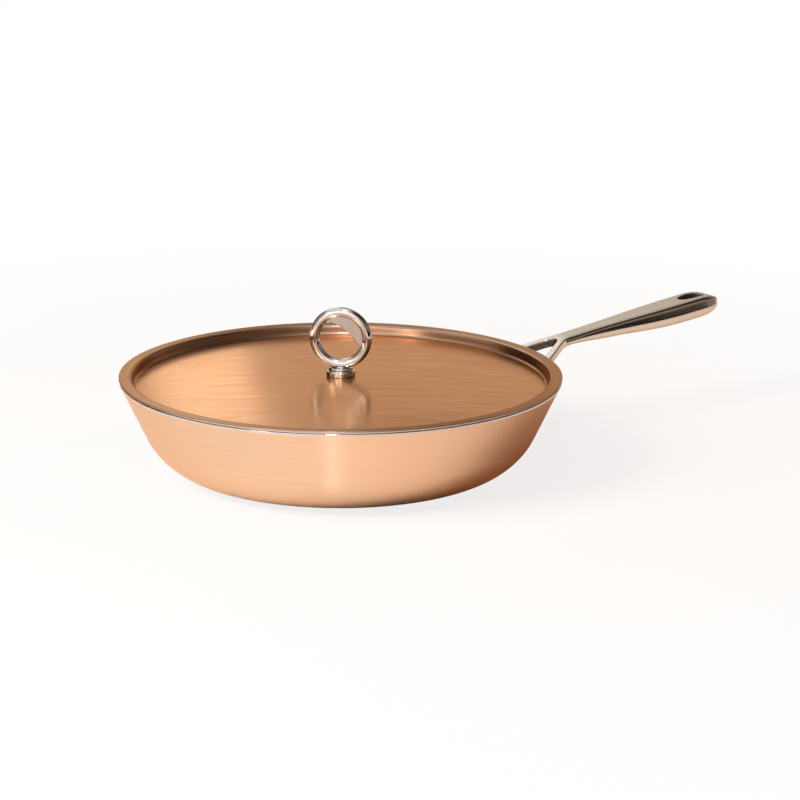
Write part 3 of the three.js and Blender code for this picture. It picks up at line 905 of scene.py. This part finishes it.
    def fork(self) -> Piece:
        """Makes the fork: its plan, with a top and an underside that follow the handle's line."""
        inside = self.pan.rim_radius - self.pad_radius - self.prong_width
        neck = self.pan.rim_radius + self.neck_distance
        outer = self.fork_side(self.crotch_radius + self.prong_width, inside, False)
        inner = self.fork_side(self.crotch_radius, inside, True)
        bend = outer[-1]
        half = (self.neck_width - self.edge_round) / 2
        corner = (bend[0] + (bend[1] - half) / math.tan(self.prong_angle), half)
        ends = (bend, corner, (neck + self.prong_width, half))
        curve = [bent(ends, (i + 1) / self.fork_steps) for i in range(self.fork_steps)]
        edge = QUARTER - self.prong_angle
        crotch = []
        for i in range(1, self.crotch_steps):
            angle = edge - 2 * edge * i / self.crotch_steps
            place = self.crotch_centre + self.crotch_radius * math.cos(angle)
            crotch.append((place, self.crotch_radius * math.sin(angle)))
        left = outer + curve
        plan = left + [(x, -y) for x, y in reversed(left)]
        plan += [(x, -y) for x, y in reversed(inner)] + crotch[::-1] + inner
        count = len(plan)
        points = [Vector((x, y, self.top(x))) for x, y in plan]
        points += [Vector((x, y, self.top(x) - self.prong_depth)) for x, y in plan]
        faces = [tuple(reversed(range(count))), tuple(range(count, 2 * count))]
        faces += [(i, (i + 1) % count, count + (i + 1) % count, count + i) for i in range(count)]
        piece = Shell(points, faces).to_solid("fork")
        bevel = piece.modifiers.new("edge_round", "BEVEL")
        bevel.width = self.fork_round * MM
        bevel.segments = SMALL
        bevel.limit_method = "ANGLE"
        bevel.angle_limit = self.bevel_angle
        settle(piece)
        return piece

    def rivet_frame(self, side: int) -> Matrix:
        """Gives the place of a rivet on the wall, with +Z out of the wall along it."""
        height = self.pan.height - self.rivet_drop
        radius = self.pan.wall_radius(height)
        line = self.crotch_radius + self.prong_width / 2 + self.crotch_centre * math.sin(self.prong_angle)
        angle = side * (math.asin(line / radius) - self.prong_angle)
        across = Vector((-math.sin(angle), math.cos(angle), 0))
        level = math.cos(self.pan.flare)
        outward = Vector((level * math.cos(angle), level * math.sin(angle), -math.sin(self.pan.flare)))
        up = outward.cross(across)
        matrix = Matrix((across, up, outward)).transposed().to_4x4()
        matrix.translation = (radius * math.cos(angle), radius * math.sin(angle), height)
        return matrix

    def casting(self) -> Piece:
        """Makes the casting: grip, fork and pads run into each other, cut to the pan's wall."""
        piece = self.grip()
        combine(piece, self.fork(), "UNION")
        for side in (1, -1):
            rim = rounded([
                Corner(0, -self.pad_depth),
                Corner(self.pad_radius, -self.pad_depth),
                Corner(self.pad_radius, self.pad_depth, self.pad_round, SMALL),
                Corner(0, self.pad_depth),
            ])
            pad = turned(rim, self.round_steps).moved(self.rivet_frame(side))
            combine(piece, pad.to_solid("pad"), "UNION")
        gap = -self.fit_gap
        envelope = rounded([
            Corner(0, gap),
            self.pan.corner(gap),
            Corner(self.pan.wall_radius(TALL, gap), TALL),
            Corner(0, TALL),
        ])
        combine(piece, turned(envelope, self.pan.steps).to_solid("envelope"), "DIFFERENCE")
        oval = Matrix.Diagonal((self.hole_length / 2, self.hole_width / 2, 1, 1))
        bore = turned([(0, 0), (1, 0), (1, TALL), (0, TALL)], self.round_steps)
        bore.moved(Matrix.Translation((self.hole_centre, 0, 0)) @ oval)
        combine(piece, bore.to_solid("bore"), "DIFFERENCE")
        tilt = Euler(self.grid_tilt).to_matrix().to_4x4()
        piece.data.transform(tilt)
        blend = piece.modifiers.new("blend", "REMESH")
        blend.mode = "VOXEL"
        blend.voxel_size = self.voxel * MM
        blend.use_smooth_shade = True
        soften = piece.modifiers.new("soften", "SMOOTH")
        soften.factor = self.smoothing_share
        soften.iterations = self.smoothing
        settle(piece)
        piece.data.transform(tilt.inverted())
        # Faces inside the fork and the hole get the satin finish whose dark colour is painted shade.
        for face in piece.data.polygons:
            face.material_index = self.shaded_inside(face.center / MM, face.normal)
        return piece

    def shaded_inside(self, place: Vector, facing: Vector) -> int:
        """Picks the finish of a face of the casting: 1, satin with painted shade, inside the fork and the
        hole; 0 elsewhere.
        """
        margin = self.shade_margin
        line = self.crotch_radius / math.cos(self.prong_angle)
        line += (self.crotch_centre - place.x) * math.tan(self.prong_angle)
        crotch = math.hypot(place.x - self.crotch_centre, place.y) < self.crotch_radius + margin
        between = place.x < self.crotch_centre and abs(place.y) < line + margin
        hole = math.hypot(
            (place.x - self.hole_centre) / (self.hole_length / 2 + margin),
            place.y / (self.hole_width / 2 + margin),
        ) < 1
        return int(abs(facing.z) < self.shade_slope and (crotch or between or hole))

    def rivet(self, name: str, side: int) -> Piece:
        """Makes one rivet, with a low round head inside the pan and a smaller tail on the pad."""
        head = -self.pan.wall - self.fit_gap
        tail = self.pad_depth + self.fit_gap
        outline = rounded([
            Corner(0, head - self.head_height),
            Corner(self.head_radius * self.dome_start, head - self.head_height, self.head_dome),
            Corner(self.head_radius, head - self.head_height * self.head_band, self.head_brow, SMALL),
            Corner(self.head_radius, head, BROKEN_EDGE, HAIR),
            Corner(self.shank_radius, head),
            Corner(self.shank_radius, tail),
            Corner(self.tail_radius, tail, BROKEN_EDGE, HAIR),
            Corner(self.tail_radius, tail + self.tail_height * self.tail_band, self.tail_brow, SMALL),
            Corner(self.tail_radius * self.dome_start, tail + self.tail_height, self.tail_dome),
            Corner(0, tail + self.tail_height),
        ])
        return turned(outline, self.round_steps).moved(self.rivet_frame(side)).to_object(name)

    def dress(self, workshop: Workshop) -> None:
        """Builds the casting and the rivets and dresses them."""
        # The casting's second finish is satin steel with painted shade, for the faces inside the fork and
        # the hole.
        workshop.fit(self.casting(), "pan", "handle_casting", [CAST_STEEL, CAST_SKIN_SHADED])
        for name, side in (("left", 1), ("right", -1)):
            rivet = self.rivet(f"rivet_{name}", side)
            workshop.fit(rivet, "pan", f"handle_rivet_{name}", [MIRROR_STEEL])


# Lid


@dataclass
class Lid:
    """The sunken lid: a copper cover over a steel liner, crowned towards its knob."""

    pan: PanBody
    copper: float = 0.9
    steel: float = 0.8
    seat_gap: float = 0.05
    overhang: float = 0.3
    flange_width: float = 8.7
    flange_round: float = 0.4
    edge_run: float = 4  # width of the flange's edge, which is drawn on its own
    liner_setback: float = 1.2  # the steel ends inside the copper's edge and leaves a dark line
    liner_round: float = 0.15
    liner_rim: float = 1  # width of the liner's polished edge
    recess_depth: float = 6.2
    recess_lip: float = 2.4
    recess_fillet: float = 2.2
    crown_rise: float = 5.4
    land_radius: float = 13
    hole_radius: float = 3.2
    crown_steps: int = 24
    bend_steps: int = 10
    steps: int = 192

    @property
    def thickness(self) -> float:
        """Thickness of both plies with the bond between them."""
        return self.copper + self.pan.bond + self.steel

    @property
    def radius(self) -> float:
        """Radius of the flange's edge."""
        return self.pan.rim_radius + self.overhang

    @property
    def flange_top(self) -> float:
        """Height of the flange's top."""
        return self.pan.height + self.seat_gap + self.thickness

    @property
    def land_top(self) -> float:
        """Height of the flat seat under the knob."""
        return self.flange_top - self.recess_depth + self.crown_rise

    @property
    def plate_end(self) -> float:
        """Radius where the plate turns up into the recess wall."""
        return self.radius - self.flange_width - self.recess_fillet

    def surface(self, depth: float) -> Outline:
        """Gives a surface a given depth below the lid's top, from the screw hole to the flange."""
        points = [(self.hole_radius, self.land_top - depth)]
        for i in range(self.crown_steps):
            share = i / self.crown_steps
            radius = self.land_radius + (self.plate_end - self.land_radius) * share
            points.append((radius, self.land_top - self.crown_rise * share * share - depth))
        wall = self.radius - self.flange_width
        bends = (
            (self.plate_end, self.flange_top - self.recess_depth + self.recess_fillet,
             self.recess_fillet + depth, -QUARTER, QUARTER),
            (wall + self.recess_lip, self.flange_top - self.recess_lip,
             self.recess_lip - depth, math.pi, -QUARTER),
        )
        for radius, height, bend, start, turn in bends:
            for i in range(self.bend_steps + 1):
                angle = start + turn * i / self.bend_steps
                points.append((radius + bend * math.cos(angle), height + bend * math.sin(angle)))
        return points

    def cover(self) -> Piece:
        """Makes the copper cover, with the plate's faces marked for straight brushing."""
        top = self.flange_top
        edge = rounded([
            Corner(self.radius - self.edge_run, top - self.copper),
            Corner(self.radius, top - self.copper, BROKEN_EDGE, HAIR),
            Corner(self.radius, top, self.flange_round),
            Corner(self.radius - self.edge_run, top),
        ])
        outline = self.surface(self.copper) + edge + self.surface(0)[::-1]
        cover = turned(outline, self.steps).marked(lambda radius, height: radius < self.plate_end)
        return cover.to_object("lid_cover")

    def liner(self) -> Piece:
        """Makes the steel liner under the cover, with its edge marked for the mirror polish."""
        low = self.flange_top - self.thickness
        high = low + self.steel
        end = self.radius - self.liner_setback
        edge = rounded([
            Corner(end - self.edge_run, low),
            Corner(end, low, self.liner_round, HAIR),
            Corner(end, high, BROKEN_EDGE, HAIR),
            Corner(end - self.edge_run, high),
        ])
        upper = self.copper + self.pan.bond
        outline = self.surface(self.thickness) + edge + self.surface(upper)[::-1]
        liner = turned(outline, self.steps).marked(lambda radius, height: radius > end - self.liner_rim)
        return liner.to_object("lid_liner")

    def dress(self, workshop: Workshop) -> None:
        """Builds the lid's plies and dresses them."""
        coppers = [PRESSED_COPPER, BELT_COPPER]
        workshop.fit(self.cover(), "lid", "lid_copper_cover", coppers)
        workshop.fit(self.liner(), "lid", "lid_steel_liner", [SPUN_STEEL, MIRROR_STEEL])


# Knob


@dataclass
class Knob:
    """The ring knob on its collar, and the screw and washers that hold it from under the lid."""

    lid: Lid
    turn: float = math.radians(-44.5)
    ring_radius: float = 16.7  # to the middle of the ring's round section
    tube_radius: float = 3.2
    web_thickness: float = 3
    web_arc: float = 33.2
    web_setback: float = 6.1
    web_angle: float = math.radians(52.2)
    web_edge: float = 0.35
    foot_radius: float = 9.2
    foot_height: float = 3
    foot_round: float = 0.6
    neck_radius: float = 7.6
    stem_height: float = 4.1
    stem_radius: float = 5
    stem_sink: float = 0.15
    saddle_rise: float = 0.9
    fit_gap: float = 0.3
    screw_radius: float = 2.9
    engagement: float = 3.3
    head_radius: float = 5.6
    crown_radius: float = 4.2
    head_height: float = 3.2
    slot_width: float = 1.4
    slot_depth: float = 1.5
    washer_radius: float = 8
    washer_thickness: float = 1.2
    lock_radius: float = 5.2
    lock_thickness: float = 1.5
    lock_gap: float = 1.2
    neck_fillet: float = 0.5
    neck_round: float = 0.3
    washer_round: float = 0.15
    washer_rim: float = 0.3  # rounding of the lower edge that shows
    crown_round: float = 1.6
    head_round: float = 0.6
    head_edge: float = 0.2
    tip_round: float = 0.5
    tube_steps: int = 40
    ring_steps: int = 128
    web_steps: int = 48
    stem_steps: int = 48
    collar_steps: int = 96
    fixing_steps: int = 64

    @property
    def bottom(self) -> float:
        """Height of the collar's underside."""
        return self.lid.land_top + self.lid.seat_gap

    @property
    def top(self) -> float:
        """Height of the collar's top."""
        return self.bottom + self.stem_height + self.saddle_rise

    @property
    def centre(self) -> float:
        """Height of the ring's centre."""
        return self.bottom + self.stem_height + self.tube_radius + self.ring_radius

    def torus(self, tube: float) -> Shell:
        """Makes the ring itself, with a given radius of its round section, standing over the lid."""
        angles = [2 * math.pi * i / self.tube_steps for i in range(self.tube_steps)]
        outline = [(self.ring_radius + tube * math.cos(a), tube * math.sin(a)) for a in angles]
        return turned(outline, self.ring_steps).moved(self.upright)

    @property
    def upright(self) -> Matrix:
        """Stands a piece made flat about +Z on its edge, at the ring's height."""
        return Matrix.Translation((0, 0, self.centre)) @ Matrix.Rotation(QUARTER, 4, "X")

    def web(self) -> Shell:
        """Makes the flat web that closes one side of the bore up to a shallow arc."""
        root = self.ring_radius
        back = self.web_arc - self.web_setback
        spread = math.acos((self.web_arc**2 - root**2 - back**2) / (2 * root * back))
        inner_spread = math.asin(root * math.sin(spread) / self.web_arc)
        half = self.web_thickness / 2
        rows: list[list[Vector]] = [[] for _ in range(6)]
        for i in range(self.web_steps + 1):
            share = 2 * i / self.web_steps - 1
            outer = self.web_angle + share * spread
            inner = self.web_angle + share * inner_spread
            far = Vector((root * math.cos(outer), root * math.sin(outer)))
            spoke = Vector((math.cos(inner), math.sin(inner)))
            centre = -back * Vector((math.cos(self.web_angle), math.sin(self.web_angle)))
            lip = centre + spoke * self.web_arc
            set_back = centre + spoke * (self.web_arc + self.web_edge)
            section = (
                (far, half), (set_back, half), (lip, half - self.web_edge),
                (lip, self.web_edge - half), (set_back, -half), (far, -half),
            )
            for row, (place, depth) in zip(rows, section):
                row.append(Vector((place.x, place.y, depth)))
        return strips(rows)

    def ring(self) -> Piece:
        """Makes the ring with its web and stem, standing on the lid and turned to its place."""
        web = self.web().marked(lambda radius, height: True).moved(self.upright)
        shell = self.torus(self.tube_radius).add(web)
        low = self.bottom + self.fit_gap
        high = self.top - self.stem_sink
        drilled = low + self.engagement + self.fit_gap
        hole = self.lid.hole_radius
        stem = [(0, drilled), (hole, drilled), (hole, low), (self.stem_radius, low),
                (self.stem_radius, high), (0, high)]
        shell.add(turned(stem, self.stem_steps))
        return shell.moved(Matrix.Rotation(self.turn, 4, "Z")).to_object("ring")

    def collar(self) -> Piece:
        """Makes the collar, with a groove in its top for the ring."""
        bore = self.stem_radius + self.fit_gap
        foot = self.bottom + self.foot_height
        outline = rounded([
            Corner(bore, self.bottom),
            Corner(self.foot_radius, self.bottom, self.foot_round),
            Corner(self.foot_radius, foot, self.foot_round),
            Corner(self.neck_radius, foot, self.neck_fillet),
            Corner(self.neck_radius, self.top, self.neck_round, SMALL),
            Corner(bore, self.top),
        ])
        turn = Matrix.Rotation(self.turn, 4, "Z")
        groove = self.torus(self.tube_radius + self.fit_gap).moved(turn)
        collar = turned(outline, self.collar_steps).to_solid("collar")
        combine(collar, groove.to_solid("groove"), "DIFFERENCE")
        return smoothed(collar)

    def washer(self, radius: float, top: float, thickness: float, edge: float, rim: tuple) -> Outline:
        """Outlines a washer; the rounding and facets of its lower rim are given apart."""
        low = top - thickness
        hole = self.lid.hole_radius
        return rounded([
            Corner(hole, low, edge, HAIR),
            Corner(radius, low, *rim),
            Corner(radius, top, edge, HAIR),
            Corner(hole, top, edge, HAIR),
        ])

    def fixing(self) -> list[tuple[Piece, str]]:
        """Makes the screw and its washers, each with the node that it stands for."""
        seat = self.lid.seat_gap
        steps = self.fixing_steps
        washer_top = self.lid.land_top - self.lid.thickness - seat
        lock_top = washer_top - self.washer_thickness - seat
        head_top = lock_top - self.lock_thickness - seat
        crown = head_top - self.head_height
        tip = self.bottom + self.fit_gap + self.engagement
        lower_rim = (self.washer_rim, SMALL)
        flat = self.washer(
            self.washer_radius, washer_top, self.washer_thickness, self.washer_round, lower_rim)
        lock = self.washer(
            self.lock_radius, lock_top, self.lock_thickness, BROKEN_EDGE, (BROKEN_EDGE, HAIR))
        split = math.asin(self.lock_gap / 2 / self.lock_radius)
        bolt = rounded([
            Corner(0, crown),
            Corner(self.crown_radius, crown, self.crown_round),
            Corner(self.head_radius, crown + self.head_height / 2, self.head_round),
            Corner(self.head_radius, head_top, self.head_edge, HAIR),
            Corner(self.screw_radius, head_top),
            Corner(self.screw_radius, tip, self.tip_round, SMALL),
            Corner(0, tip),
        ])
        screw = turned(bolt, steps).to_solid("screw")
        wide = 2 * self.head_radius
        box = [
            Vector((x * wide, y * self.slot_width / 2, crown + z * self.slot_depth))
            for x in (-1, 1) for y in (-1, 1) for z in (-1, 1)
        ]
        sides = [(0, 1, 3, 2), (4, 6, 7, 5), (0, 4, 5, 1), (2, 3, 7, 6), (0, 2, 6, 4), (1, 5, 7, 3)]
        combine(screw, Shell(box, sides).to_solid("drive_slot"), "DIFFERENCE")
        return [
            (turned(flat, steps).to_object("flat_washer"), "knob_flat_washer"),
            (turned(lock, steps, split).to_object("lock_washer"), "knob_lock_washer"),
            (smoothed(screw), "knob_screw"),
        ]

    def dress(self, workshop: Workshop) -> None:
        """Builds the knob's pieces and dresses them."""
        workshop.fit(self.ring(), "lid", "knob_ring", [MIRROR_STEEL, SATIN_STEEL])
        workshop.fit(self.collar(), "lid", "knob_collar", [MIRROR_STEEL])
        for piece, node in self.fixing():
            workshop.fit(piece, "lid", node, [ZINC_STEEL])


# Studio


def heading(azimuth: float, elevation: float) -> Vector:
    """Gives a direction in the room.

    Args:
        azimuth: degrees clockwise, seen from above, from straight behind the pan in the picture.
        elevation: degrees above the horizon.

    Returns:
        The direction, of length 1.
    """
    angle = math.radians(VIEW_TURN + azimuth)
    lift = math.radians(elevation)
    return Vector((math.sin(angle) * math.cos(lift), math.cos(angle) * math.cos(lift), math.sin(lift)))


@dataclass(frozen=True)
class Glow:
    """A soft round patch on the room's walls."""

    azimuth: float  # of its middle, as heading takes it
    elevation: float
    core: float  # degrees from the middle to where it starts to fade
    edge: float  # degrees from the middle to where it ends
    colour: str
    strength: float = 1.0


@dataclass(frozen=True)
class Softbox:
    """A lamp with a wide soft face that looks at the pan."""

    name: str
    azimuth: float  # as heading takes it
    elevation: float
    distance: float  # from the pan, in metres
    width: float  # of its face, in metres
    height: float
    power: float  # in watts
    mirrored: bool = True  # whether the metal shows the lamp itself
    colour: str = "#ffffff"


@dataclass
class Studio:
    """The floor, the room, the lamps and the camera."""

    room: str = "#b9b1a8"
    glows: tuple[Glow, ...] = (
        Glow(0, 90, 28, 56, "#fffaf2"),
        Glow(0, 12, 30, 70, "#7a5c48"),
        Glow(8, 12, 10, 20, "#d0c0b0"),
        Glow(341, 36, 8, 19, "#ffffff", 1.5),
        Glow(305, 15, 14, 32, "#2b1f17"),
        Glow(105, 25, 35, 60, "#7d7268"),
        Glow(88, 48, 14, 34, "#191613"),
        Glow(200, 15, 14, 34, "#f6f4fa", 1.7),
    )
    lamps: tuple[Softbox, ...] = (
        Softbox("key_softbox", 234, 36, 2.2, 0.7, 0.7, 68, mirrored=False),
        Softbox("left_softbox", 240, 38, 2.6, 2.0, 2.0, 115, mirrored=False),
        Softbox("warm_fill", 75, 30, 2.0, 1.0, 1.0, 26, mirrored=False, colour="#ffab78"),
        Softbox("front_strip", 187, 64, 2.2, 0.18, 1.0, 9),
        Softbox("rim_spot", 223, 30, 2.2, 0.35, 0.35, 3),
        Softbox("back_strip", 353.7, 18, 2.5, 0.2, 0.8, 0.38),
    )
    flag_azimuth: float = 122  # a low dark board that the handle's side mirrors
    flag_distance: float = 0.8
    flag_width: float = 0.9
    flag_height: float = 0.15
    flag_colour: str = "#0d0b0a"
    dome: float = 0.11  # even white light on everything that is matt
    camera_place: tuple[float, float, float] = (-1217.84, -1772.44, 610.15)
    camera_aim: tuple[float, float, float] = (17.56, -40.03, 51.08)
    camera_roll: float = 0.248  # degrees
    lens: float = 157.7
    sensor: float = 36
    floor_size: float = 12  # metres from its middle to its edges
    floor_drop: float = 0.0003  # metres below the pan's base
    floor_colour: str = "#b0a89f"
    floor_sheen: float = 0.04  # share of the floor that shines, as the metal shows it
    floor_roughness: float = 0.08
    floor_glow: float = 1.0
    near_glow: float = 0.82  # the eye sees this share of the floor as pure white beside the pan
    near: float = 0.25  # metres from the pan's axis
    far: float = 0.7  # from here on all of it is white

    def sheet(self, name: str, corners: list[Vector], material: Material) -> Piece:
        """Adds a flat four-sided piece of the studio and returns it."""
        mesh = bpy.data.meshes.new(name)
        mesh.from_pydata(corners, [], [(0, 1, 2, 3)])
        mesh.materials.append(material)
        piece = linked(name, mesh)
        return piece

    def floor(self) -> None:
        """Makes the pale floor: matt, and to the eye whiter away from the pan and its shadow."""
        material, tree = bare_material("pale_floor")
        place = add_node(tree, "TexCoord", out="Object")
        away = add_node(tree, "VectorMath", {0: place}, "Value", operation="LENGTH")
        fade = {"Value": away, "From Min": self.near, "From Max": self.far, "To Min": self.near_glow}
        white = add_node(tree, "MapRange", fade)
        camera = add_node(tree, "LightPath", out="Is Camera Ray")
        eye = add_node(tree, "Math", {0: camera, 1: white}, operation="MULTIPLY")
        glossy = add_node(tree, "LightPath", out="Is Glossy Ray")
        mirrored = add_node(tree, "Math", {0: glossy, 1: self.floor_sheen}, operation="MULTIPLY")
        matt = add_node(tree, "BsdfDiffuse", {"Color": linear(self.floor_colour)})
        shine = add_node(tree, "BsdfAnisotropic", {"Roughness": self.floor_roughness})
        glow = add_node(tree, "Emission", {"Color": WHITE, "Strength": self.floor_glow})
        real = add_node(tree, "MixShader", {0: mirrored, 1: matt, 2: shine})
        seen = add_node(tree, "MixShader", {0: eye, 1: real, 2: glow})
        add_node(tree, "OutputMaterial", {"Surface": seen})
        size = self.floor_size
        low = -self.floor_drop
        corners = [Vector((x * size, y * size, low)) for x, y in ((-1, -1), (1, -1), (1, 1), (-1, 1))]
        self.sheet("floor", corners, material)

    def flag(self) -> None:
        """Stands a dark board on the floor, out of the picture, for the metal to reflect."""
        material, tree = bare_material("black_felt")
        felt = {"Base Color": linear(self.flag_colour), "Roughness": 1.0}
        shader = add_node(tree, "BsdfPrincipled", felt)
        add_node(tree, "OutputMaterial", {"Surface": shader})
        middle = heading(self.flag_azimuth, 0) * self.flag_distance
        across = heading(self.flag_azimuth + 90, 0) * self.flag_width / 2
        up = Vector((0, 0, self.flag_height))
        corners = [middle - across, middle + across, middle + across + up, middle - across + up]
        self.sheet("flag", corners, material).visible_camera = False

    def walls(self) -> None:
        """Makes the room: white to the eye, with soft light and dark patches for the metal."""
        world = bpy.data.worlds.new("room")
        bpy.context.scene.world = world
        world.use_nodes = True
        tree = world.node_tree
        tree.nodes.clear()
        ray = add_node(tree, "TexCoord", out="Generated")
        colour = linear(self.room)
        for glow in self.glows:
            middle = heading(glow.azimuth, glow.elevation)
            near = add_node(tree, "VectorMath", {0: ray, 1: middle}, "Value", operation="DOT_PRODUCT")
            start = math.cos(math.radians(glow.edge))
            full = math.cos(math.radians(glow.core))
            fade = {"Value": near, "From Min": start, "From Max": full}
            share = add_node(tree, "MapRange", fade, interpolation_type="SMOOTHSTEP")
            tint = [value * glow.strength for value in linear(glow.colour)[:3]]
            colour = add_node(tree, "Mix", {0: share, 6: colour, 7: (*tint, 1.0)}, 2, data_type="RGBA")
        even = (self.dome, self.dome, self.dome, 1.0)
        camera = add_node(tree, "LightPath", out="Is Camera Ray")
        level = add_node(tree, "Mix", {0: camera, 6: even, 7: WHITE}, 2, data_type="RGBA")
        glossy = add_node(tree, "LightPath", out="Is Glossy Ray")
        shown = add_node(tree, "Mix", {0: glossy, 6: level, 7: colour}, 2, data_type="RGBA")
        light = add_node(tree, "Background", {"Color": shown, "Strength": 1.0})
        add_node(tree, "OutputWorld", {"Surface": light})

    def hang(self, name: str, data: bpy.types.ID, place: Vector, look: Vector) -> Piece:
        """Puts a lamp or the camera at a place, looking along a direction, and returns it."""
        piece = linked(name, data)
        piece.location = place
        piece.rotation_mode = "QUATERNION"
        piece.rotation_quaternion = look.to_track_quat("-Z", "Y")
        return piece

    def light(self) -> None:
        """Hangs the lamps round the pan."""
        for lamp in self.lamps:
            data = bpy.data.lights.new(lamp.name, "AREA")
            data.shape = "RECTANGLE"
            data.size = lamp.width
            data.size_y = lamp.height
            data.energy = lamp.power
            data.color = linear(lamp.colour)[:3]
            place = heading(lamp.azimuth, lamp.elevation) * lamp.distance
            self.hang(lamp.name, data, place, -place).visible_glossy = lamp.mirrored

    def camera(self) -> None:
        """Sets the camera at the picture's place."""
        data = bpy.data.cameras.new("camera")
        data.lens = self.lens
        data.sensor_width = self.sensor
        place = Vector(self.camera_place) * MM
        camera = self.hang("camera", data, place, Vector(self.camera_aim) * MM - place)
        roll = Matrix.Rotation(math.radians(self.camera_roll), 3, "Z").to_quaternion()
        camera.rotation_quaternion = camera.rotation_quaternion @ roll
        bpy.context.scene.camera = camera

    def build(self) -> None:
        """Builds the whole studio."""
        bpy.context.scene.view_settings.view_transform = "Standard"
        self.floor()
        self.flag()
        self.walls()
        self.light()
        self.camera()


def main() -> None:
    """Builds the pan, the handle, the lid, the knob and the studio, in that order."""
    logging.basicConfig(level=logging.INFO, format="%(name)s: %(message)s")
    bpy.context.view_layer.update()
    workshop = Workshop()
    pan = PanBody()
    lid = Lid(pan)
    for assembly in (pan, Handle(pan), lid, Knob(lid)):
        assembly.dress(workshop)
    Studio().build()


if __name__ == "__main__":
    main()
